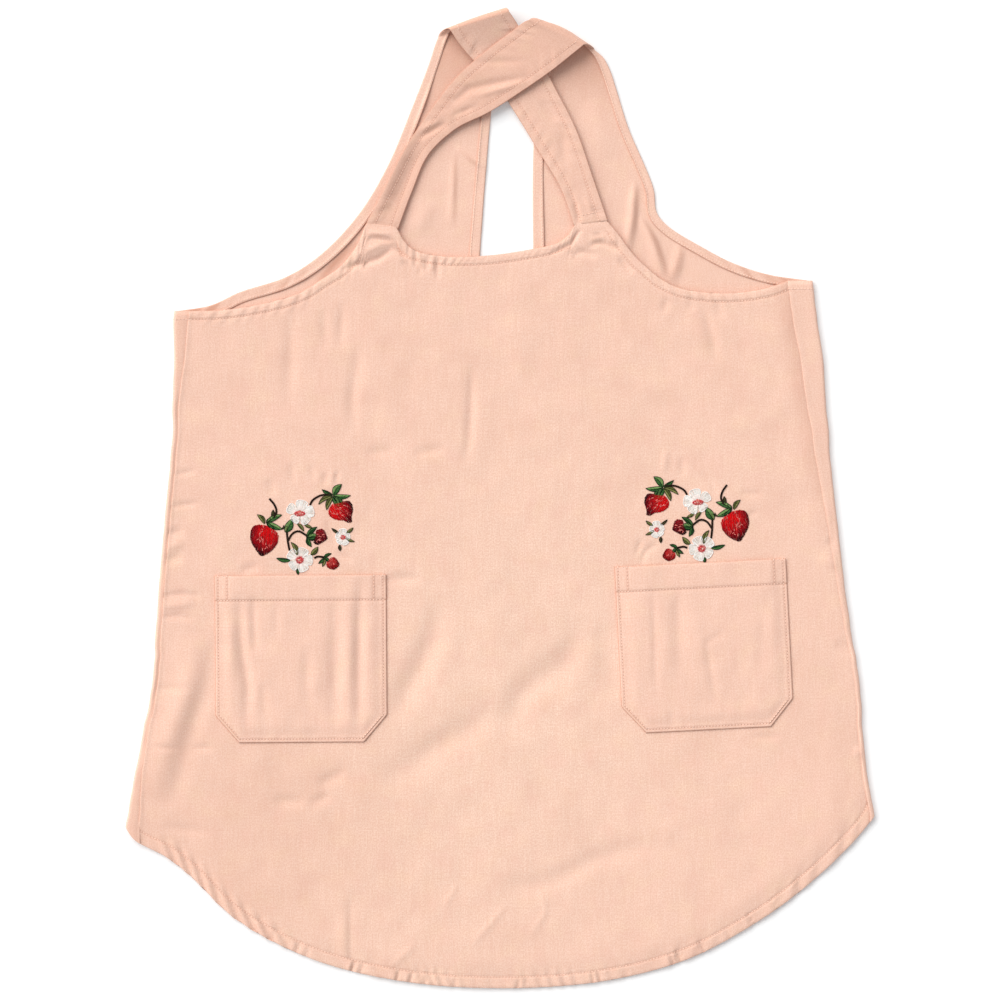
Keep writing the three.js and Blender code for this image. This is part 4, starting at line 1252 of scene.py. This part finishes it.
# %% Leaves of a sprig
# leaves: base x, y, tip x, y, width, bend, tone
LEAVES = [
    (-35.3, 13.5, -42.8, 22.4, 4.6, -0.12, 2), (-33.4, 14.6, -18.2, 22.2, 5.4, 0.05, 1),
    (-27, 19, -26.9, 27.3, 3.8, 0, 3), (-33, 14.6, -17.6, 7.8, 5.6, -0.05, 1),
    (-33.6, 15.4, -25.4, 8.4, 3.2, -0.1, 0), (-33.5, 13.6, -29.5, 19.4, 3.6, 0, 0),
    (-18.8, 8, -16.4, 11.8, 1.8, -0.3, 3), (32.7, 41.8, 22, 47.4, 3.8, 0.06, 0),
    (33.4, 41.8, 41.6, 52.8, 6.8, 0.1, 1), (33.4, 41.4, 50.6, 41.6, 4.8, -0.08, 1),
    (32.4, 40.6, 18.6, 32.8, 4.2, -0.14, 2), (32.4, 40, 26.6, 27.2, 4.8, -0.1, 2),
    (33.6, 40, 43.8, 30.4, 5.4, 0.08, 0), (33, 40.6, 39.4, 29.6, 6.6, 0.04, 1),
    (-14.6, 4.8, -8.2, 18, 8, -0.05, 1), (-14.2, 5, -12.4, 11.5, 3.2, 0.1, 2),
    (-2.6, 13.6, 3.8, 5.8, 3.4, 0.08, 2), (4.2, 12.9, 12.4, 9.3, 3, -0.05, 2),
    (6.6, -0.6, 17, 10.2, 4.8, 0.08, 0), (7.4, -0.8, 17.4, 2.2, 6.4, 0, 1),
    (7, -0.4, 11.4, -9.8, 4.6, -0.08, 0), (9, -2, 16, -0.6, 3.4, -0.1, 0), (38.8, 4, 31.6, 8.8, 2.6, 0.06, 3),
    (46.6, 4, 53.2, 9.4, 3, -0.05, 2), (46, -0.8, 54.6, -4.6, 2.6, -0.08, 2),
    (39.6, -8, 40.1, -13.8, 3.2, 0, 3), (-2.6, -18.2, -9, -5.2, 4.6, -0.12, 2),
    (-9.8, -23.4, -23.6, -21.2, 4, 0.06, 0), (11, -17.8, 18, -9.8, 5, -0.06, 2),
    (-2.6, -32, -1.8, -37.6, 3, 0, 0), (23.8, -20, 31.4, -16.4, 3, 0.05, 0),
    (24.6, -21, 18.4, -26.4, 3.2, 0.06, 0), (25, -21.4, 22.4, -29.6, 3.2, 0.05, 2),
    (25, -20.6, 29.6, -24.6, 3.4, 0, 0),
]
# each tone: outline, dark half and light half of a leaf
LEAF_TONES = [
    [(1, 8, 3), (12, 50, 20), (70, 110, 58)], [(2, 12, 4), (26, 72, 30), (132, 162, 98)],
    [(26, 26, 10), (66, 72, 32), (140, 140, 84)], [(16, 12, 6), (40, 36, 22), (78, 74, 44)],
]
print("leaves:", len(LEAVES))

# %% Blossoms and stems of a sprig
# blossoms: middle, size of the heart, and petals as direction, reach and half width in degrees
BLOSSOMS = [
    dict(middle=(-0.3, 23.4), heart=(5.6, 2.8),
         petals=[(78, 14.5, 35), (150, 14.5, 31), (230, 11, 38), (312, 13, 34), (12, 15.4, 31)]),
    dict(middle=(-0.3, -23), heart=(4, 3.8),
         petals=[(68, 13.4, 34), (144, 14.2, 34), (220, 12.6, 34), (294, 13, 34), (0, 13.6, 33)]),
    dict(middle=(43, -0.4), heart=(2.6, 2.3),
         petals=[(92, 9.2, 36), (14, 7.6, 34), (294, 8.4, 34), (230, 8, 34), (164, 8, 36)]),
]
# stems: points along each
STEMS = [
    [(-25.6, 20), (-23.8, 24), (-23.8, 28), (-26.1, 33), (-30.2, 38)],
    [(10.2, 32.4), (12.3, 36.4), (16.9, 39.8), (21.5, 41.8), (31, 42.6)],
    [(-13.2, 4.4), (-12.4, -3.2), (-11.5, -8.4), (-10.6, -12.8)],
    [(-11.4, -2.7), (-8.3, 2.5), (-4.9, 5.1), (-0.9, 5.7), (3.1, 3.7), (7, 1)],
    [(14.8, -20.8), (17.5, -19.6), (24, -20.2)],
]
SPRIGS = {"left": dict(x=-184, y=-35, mirror=1, turn=0), "right": dict(x=183.6, y=-24.6, mirror=-1, turn=4.8)}
print("blossoms, stems:", len(BLOSSOMS), len(STEMS))

# %% [markdown]
# ## Laying the threads
# A leaf is filled with slanting threads from its midrib, a berry with short ones that run towards its tip,
# and a petal with pale ones that fan out. Every thread has its own slight change of tone, drawn from one
# seeded generator in a fixed order, so the sprig comes out the same on every run.

# %% One thread
dice = np.random.default_rng(77)
THREAD_POINTS = 4


def thread(start, end, colour, lift=0.35, bow=0.0, low=0.0):
    """One laid thread: its points with height in mm, arched a little, and its colour."""
    t = np.linspace(0, 1, THREAD_POINTS)[:, None]
    start, end = np.asarray(start, float), np.asarray(end, float)
    side = np.array([start[1] - end[1], end[0] - start[0]]) * bow
    flat = mix(start, end, t) + side * np.sin(np.pi * t)
    height = low + lift * np.sin(np.pi * np.clip(t, 0.02, 0.98)) ** 0.6
    return np.concatenate([flat * UNIT, height], 1), np.array(colour, float)


def shade_of(first, second, share, spread=0.06):
    tone = mix(np.array(first, float), np.array(second, float), np.clip(share, 0, 1))
    return np.clip(tone * (1 + dice.normal(0, spread)), 0, 255)


def chain(line, colour, low):
    """Threads end to end along a line."""
    return [thread(start, end, shade_of(colour, colour, 0), 0.15, 0, low) for start, end in zip(line, line[1:])]


print("points along a thread:", THREAD_POINTS)


# %% Threads of the leaves
def leaf_threads(x1, y1, x2, y2, width, bend, tone):
    """Slanting threads from the midrib to both edges of a leaf, one half lighter, and a dark outline."""
    base, tip = np.array([x1, y1]), np.array([x2, y2])
    axis = tip - base
    length = np.hypot(*axis)
    side = np.array([-axis[1], axis[0]]) / length
    rim, dark, light = LEAF_TONES[tone]
    midrib = lambda t: base + axis * t + side * bend * length * np.sin(np.pi * t)
    half = lambda t: width / 2 * np.sin(np.pi * np.clip(t, 0.02, 1) ** 0.85) ** 0.8
    made = []
    for t in np.arange(0, 0.9, 0.55 / length):
        reach = min(t + 0.14, 0.97)
        for hand, share in ((1, 0.85), (-1, 0.25)):
            tint = shade_of(dark, light, share + dice.uniform(-0.25, 0.25))
            made.append(thread(midrib(t), midrib(reach) + side * (half(reach) - 0.3) * hand, tint, 0.3))
    steps = even(max(3, int(length / 2.6)))
    for hand in (1, -1):
        made += chain([midrib(t) + side * half(t) * hand for t in steps], rim, 0.22)
    if width > 4:
        made += chain([midrib(t) for t in steps[:-1] * 0.85], shade_of(rim, dark, 0.3), 0.3)
    return made


leaves = [made for row in LEAVES for made in leaf_threads(*row)]
print("threads of the leaves:", len(leaves))


# %% Threads of the berries
def within(spots, outline):
    """Which points lie inside an outline: a line from one to the right crosses it an odd number of times."""
    x, y = np.asarray(spots, float).T
    ax, ay = np.asarray(outline, float).T[:, :, None]
    bx, by = np.roll(ax, -1, 0), np.roll(ay, -1, 0)
    crosses = (ay > y) != (by > y)
    where = ax + (y - ay) * (bx - ax) / np.where(crosses, by - ay, 1)
    return (crosses & (where > x)).sum(0) % 2 == 1


def berry_threads(outline, lit, tip, tones, flecks):
    """A berry of short threads that run towards its tip, darker away from its lit spot, with pale flecks."""
    edge = smooth_line([*outline, outline[0]], even(90))
    lit, tip = np.array(lit, float), np.array(tip, float)
    reach = np.hypot(*(edge - lit).T).max()
    axis = tip - edge.mean(0)
    axis /= np.hypot(*axis)
    side = np.array([-axis[1], axis[0]])
    along, wide = edge @ axis, edge @ side
    made = []
    pitch, run = 0.66, 4.6
    for a in np.arange(wide.min(), wide.max(), pitch):
        for b in np.arange(along.min() - dice.uniform(0, run), along.max(), run * 0.82):
            line = side * (a + dice.normal(0, 0.1)) + axis * np.linspace(b, b + run, 9)[:, None]
            line = line[within(line, edge)]
            if len(line) < 3:
                continue
            spot = line[len(line) // 2]
            rim = np.hypot(*(edge - spot).T).min()
            shade = (np.hypot(*(spot - lit)) / reach) ** 1.5 + 0.14 * (1 - ease(rim, 0.4, 2.4))
            shade += dice.normal(0, 0.09)
            shade = 2 * max(shade, 1.1 - np.hypot(*(spot - tip)) / 5)
            tint = shade_of(tones[0], tones[1], shade) if shade < 1 else shade_of(tones[1], tones[2], shade - 1)
            made.append(thread(line[0], line[-1], tint, 0.25, 0, 0.4 * ease(rim, 0, 6)))
    for points in flecks:
        line = smooth_line(points, even(int(lengths(np.array(points))[-1] * 0.95)))
        for spot in line + dice.normal(0, 0.7, line.shape):
            way = axis * dice.uniform(0.4, 1.1) + side * dice.uniform(-0.8, 0.8)
            tint = shade_of((240, 150, 138), (200, 60, 60), dice.uniform())
            made.append(thread(spot - way, spot + way, tint, 0.2, 0, 0.78))
    return made


berries = [made for row in BERRIES for made in berry_threads(**row)]
print("threads of the berries:", len(berries))


# %% Threads of the stems
def stem_threads(points):
    """Four threads that overlap along a stem."""
    made = []
    line = smooth_line(points, even(int(lengths(np.array(points))[-1] / 2.2) + 1))
    across_stem = np.gradient(line, axis=0) @ np.array([[0, 1], [-1, 0]])
    across_stem /= np.linalg.norm(across_stem, axis=1, keepdims=True)
    for offset in (-0.7, -0.2, 0.3, 0.8):
        for k in range(len(line) - 1):
            reach = 0.3 * (line[k + 1] - line[k])
            start = line[k] - reach + across_stem[k] * offset
            end = line[k + 1] + reach + across_stem[k + 1] * offset * 0.9
            made.append(thread(start, end, shade_of((26, 16, 10), (52, 32, 20), dice.uniform()), 0.1, 0, 0.25))
    return made


stems = [made for points in STEMS for made in stem_threads(points)]
print("threads of the stems:", len(stems))


# %% Threads of the blossoms
def blossom_threads(middle, petals, heart):
    """Petals of fine white threads with an outline, round a heart of coral ones."""
    middle, made = np.array(middle), []
    for heading, reach, spread in petals:
        def spot(a, share=1.0):
            turn = np.radians(heading + a * spread)
            far = reach * (0.6 + 0.4 * np.sqrt(max(1 - a * a, 0))) * (1 - 0.06 * np.cos(3 * a))
            return middle + np.array([np.cos(turn), np.sin(turn)]) * far * share

        for a in np.arange(-0.9, 0.91, 1.45 / reach):
            a += dice.uniform(-0.04, 0.04)
            split = dice.uniform(0.5, 0.68)
            pale = shade_of((250, 247, 242), (226, 216, 206), dice.uniform() ** 1.5, 0.02)
            made.append(thread(spot(a, 0.26), spot(a, split), shade_of(pale, (246, 222, 214), 0.4, 0.02), 0.25))
            made.append(thread(spot(a, split - 0.05), spot(a, 0.97), pale, 0.3, 0.03))
        made += chain([spot(a) for a in np.linspace(-1, 1, 9)], (253, 252, 250), 0.25)
        for edge in (-1, 1):
            made += chain([spot(edge, share) for share in (0.35, 0.65, 1)], (226, 214, 204), 0.2)
    for angle in np.arange(0, 2 * np.pi, 2.6 / (sum(heart))):
        ring = np.array([np.cos(angle), np.sin(angle)]) * heart
        way = dice.uniform(-1, 1, 2) * 0.9 + 0.35 * ring
        tint = shade_of((196, 44, 56), (222, 92, 88), dice.uniform())
        for at in (middle + ring * 0.85, middle + ring * 0.5):
            made.append(thread(at - way * 0.6, at + way * 0.5, tint, 0.3, 0, 0.4))
    for _ in range(int(sum(heart))):
        at = middle + dice.normal(0, 0.3, 2) * heart
        tint = shade_of((250, 226, 216), (236, 140, 128), dice.uniform())
        made.append(thread(at - (0.6, 0.2), at + (0.6, 0.3), tint, 0.3, 0, 0.6))
    return made


blossoms = [made for row in BLOSSOMS for made in blossom_threads(**row)]
print("threads of the blossoms:", len(blossoms))


# %% [markdown]
# ## From threads to sprigs
# So far a thread is a line with a colour. A second Geometry Nodes tree sweeps a small ring along each line.
# The lines are set on the front's own height, so the embroidery follows its waves.

# %% Sprig tree
def sprig_tree():
    tree, inlet, outlet = geometry_tree("laid_threads", "Thickness")
    line = node(tree, "GeometryNodeMeshToCurve")
    ring = node(tree, "GeometryNodeCurvePrimitiveCircle", Resolution=5)
    half = node(tree, "ShaderNodeMath", operation="MULTIPLY")
    half.inputs[1].default_value = 0.5
    sweep = node(tree, "GeometryNodeCurveToMesh")
    sweep.inputs["Fill Caps"].default_value = True
    wire(tree, (inlet, "Geometry", line, "Mesh"), (inlet, "Thickness", half, 0), (half, 0, ring, "Radius"),
         (line, "Curve", sweep, "Curve"), (ring, "Curve", sweep, "Profile Curve"))
    return finish_tree(tree, inlet, outlet, sweep, "Mesh")


LAID = sprig_tree()
print("sprig tree nodes:", len(LAID.nodes))


# %% Embroidery thread
def silk_material():
    material, tree, shader = new_material("embroidery_thread", {"Roughness": 0.65, "Specular IOR Level": 0.1})
    colour = node(tree, "ShaderNodeAttribute", attribute_name="thread_colour")
    place = node(tree, "ShaderNodeTexCoord")
    twist = node(tree, "ShaderNodeTexNoise", Scale=2600.0, Detail=1.0)
    tone = node(tree, "ShaderNodeMapRange")
    tone.inputs["To Min"].default_value, tone.inputs["To Max"].default_value = 0.72, 1.22
    shade = node(tree, "ShaderNodeMix", data_type="RGBA", blend_type="MULTIPLY")
    shade.inputs["Factor"].default_value = 1.0
    wire(tree, (place, "Object", twist, "Vector"), (twist, "Fac", tone, "Value"), (colour, "Color", shade, 6),
         (tone, "Result", shade, 7), (shade, 2, shader, "Base Color"))
    return material


SILK = silk_material()
print("embroidery thread:", SILK.name)

# %% Sprigs
THREAD_WIDTH = 0.62
threads = leaves + berries + stems + blossoms
laid = np.array([points for points, _ in threads])
tones = [plain_colour(*colour) for _, colour in threads for _ in range(THREAD_POINTS)]
sprigs = {}
for side, place in SPRIGS.items():
    turn = np.radians(place["turn"])
    spin = np.array([[np.cos(turn), np.sin(turn)], [-np.sin(turn), np.cos(turn)]])
    flat = (laid[..., :2] * [place["mirror"], 1]) @ spin + [place["x"], place["y"]]
    height = front_height(flat[..., 0], flat[..., 1]) + laid[..., 2]
    mesh = line_mesh(f"sprig_{side}", np.concatenate([flat, height[..., None]], 2))
    mesh.attributes.new("thread_colour", "FLOAT_COLOR", "POINT").data.foreach_set("color", np.ravel(tones))
    sprigs[side] = grow(f"sprig_{side}", mesh, LAID, Material=SILK, Thickness=THREAD_WIDTH * MM)
print("threads in a sprig:", len(threads))

# %% [markdown]
# ## Riding on the body
# Every piece rides on the one body, and the solids that the cloth stands for are hidden.

# %% Rides on the body, and the solids hidden
for piece in [*cloth_pieces, *stitch_rows.values(), *sprigs.values()]:
    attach(piece, "root")
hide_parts("front_panel")
for side, cloth in back_cloths.items():
    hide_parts(f"back_panel_{side}", f"strap_{side}")
for side, cloth in pocket_cloths.items():
    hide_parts(f"pocket_{side}")
print("pieces riding on the body:", len(cloth_pieces) + len(stitch_rows) + len(sprigs))

# %% [markdown]
# ## Table, light and camera
# The apron lies on a white table and is seen from straight above, under wide soft light: a main lamp beyond
# the shoulders and a weaker one at the left. The table is bright enough to print white, so only soft
# shadows set the cloth off from it.

# %% Table
TABLE_HALF, TABLE_DROP = 6.0, 0.4 * MM
# the table glows a little, a painted light that lifts the shadows cast on it
glowing_table_look = {"Base Color": (0.92, 0.92, 0.92, 1), "Roughness": 0.9, "Specular IOR Level": 0.1,
              "Emission Color": (0.95, 0.98, 1.0, 1), "Emission Strength": 0.1}
corners = [(x * TABLE_HALF, y * TABLE_HALF, -TABLE_DROP) for x, y in ((-1, -1), (1, -1), (1, 1), (-1, 1))]
mesh = bpy.data.meshes.new("table")
mesh.from_pydata(corners, [], [(0, 1, 2, 3)])
mesh.materials.append(new_material("white_glowing_table", glowing_table_look)[0])
piece_of("table", mesh)
print("table edge, m:", 2 * TABLE_HALF)

# %% Light
scene = bpy.context.scene
scene.view_settings.view_transform = "Standard"
scene.world = scene.world or bpy.data.worlds.new("studio")
scene.world.use_nodes = True
sky = scene.world.node_tree.nodes["Background"]
sky.inputs["Color"].default_value = (0.955, 0.975, 1.0, 1)
sky.inputs["Strength"].default_value = 0.5
# lamps: direction they come from and height, both in degrees, and strength
LAMPS = {"main_lamp": (120, 37, 2.2), "side_lamp": (166, 30, 1.3)}
LAMP_SPREAD, LAMP_COLOUR = 50, (1.0, 0.985, 0.965)
for name, (heading, height, strength) in LAMPS.items():
    sun = bpy.data.lights.new(name, "SUN")
    sun.angle, sun.energy, sun.color = np.radians(LAMP_SPREAD), strength, LAMP_COLOUR
    flat, up = np.cos(np.radians(height)), np.sin(np.radians(height))
    ray = Vector((-flat * np.cos(np.radians(heading)), -flat * np.sin(np.radians(heading)), -up))
    piece_of(name, sun).rotation_euler = ray.to_track_quat("-Z", "Y").to_euler()
print("lamps:", list(LAMPS))

# %% Camera
CAMERA_HEIGHT, VIEW_WIDTH, SENSOR = 3.0, 0.92, 36.0
VIEW_MIDDLE = (0, -0.00092)
camera = piece_of("camera", bpy.data.cameras.new("camera"))
camera.location = (*VIEW_MIDDLE, CAMERA_HEIGHT + FRONT_TOP * MM)
camera.data.sensor_width = SENSOR
camera.data.lens = SENSOR * CAMERA_HEIGHT / VIEW_WIDTH
scene.camera = camera
print("lens, mm:", round(camera.data.lens, 1))
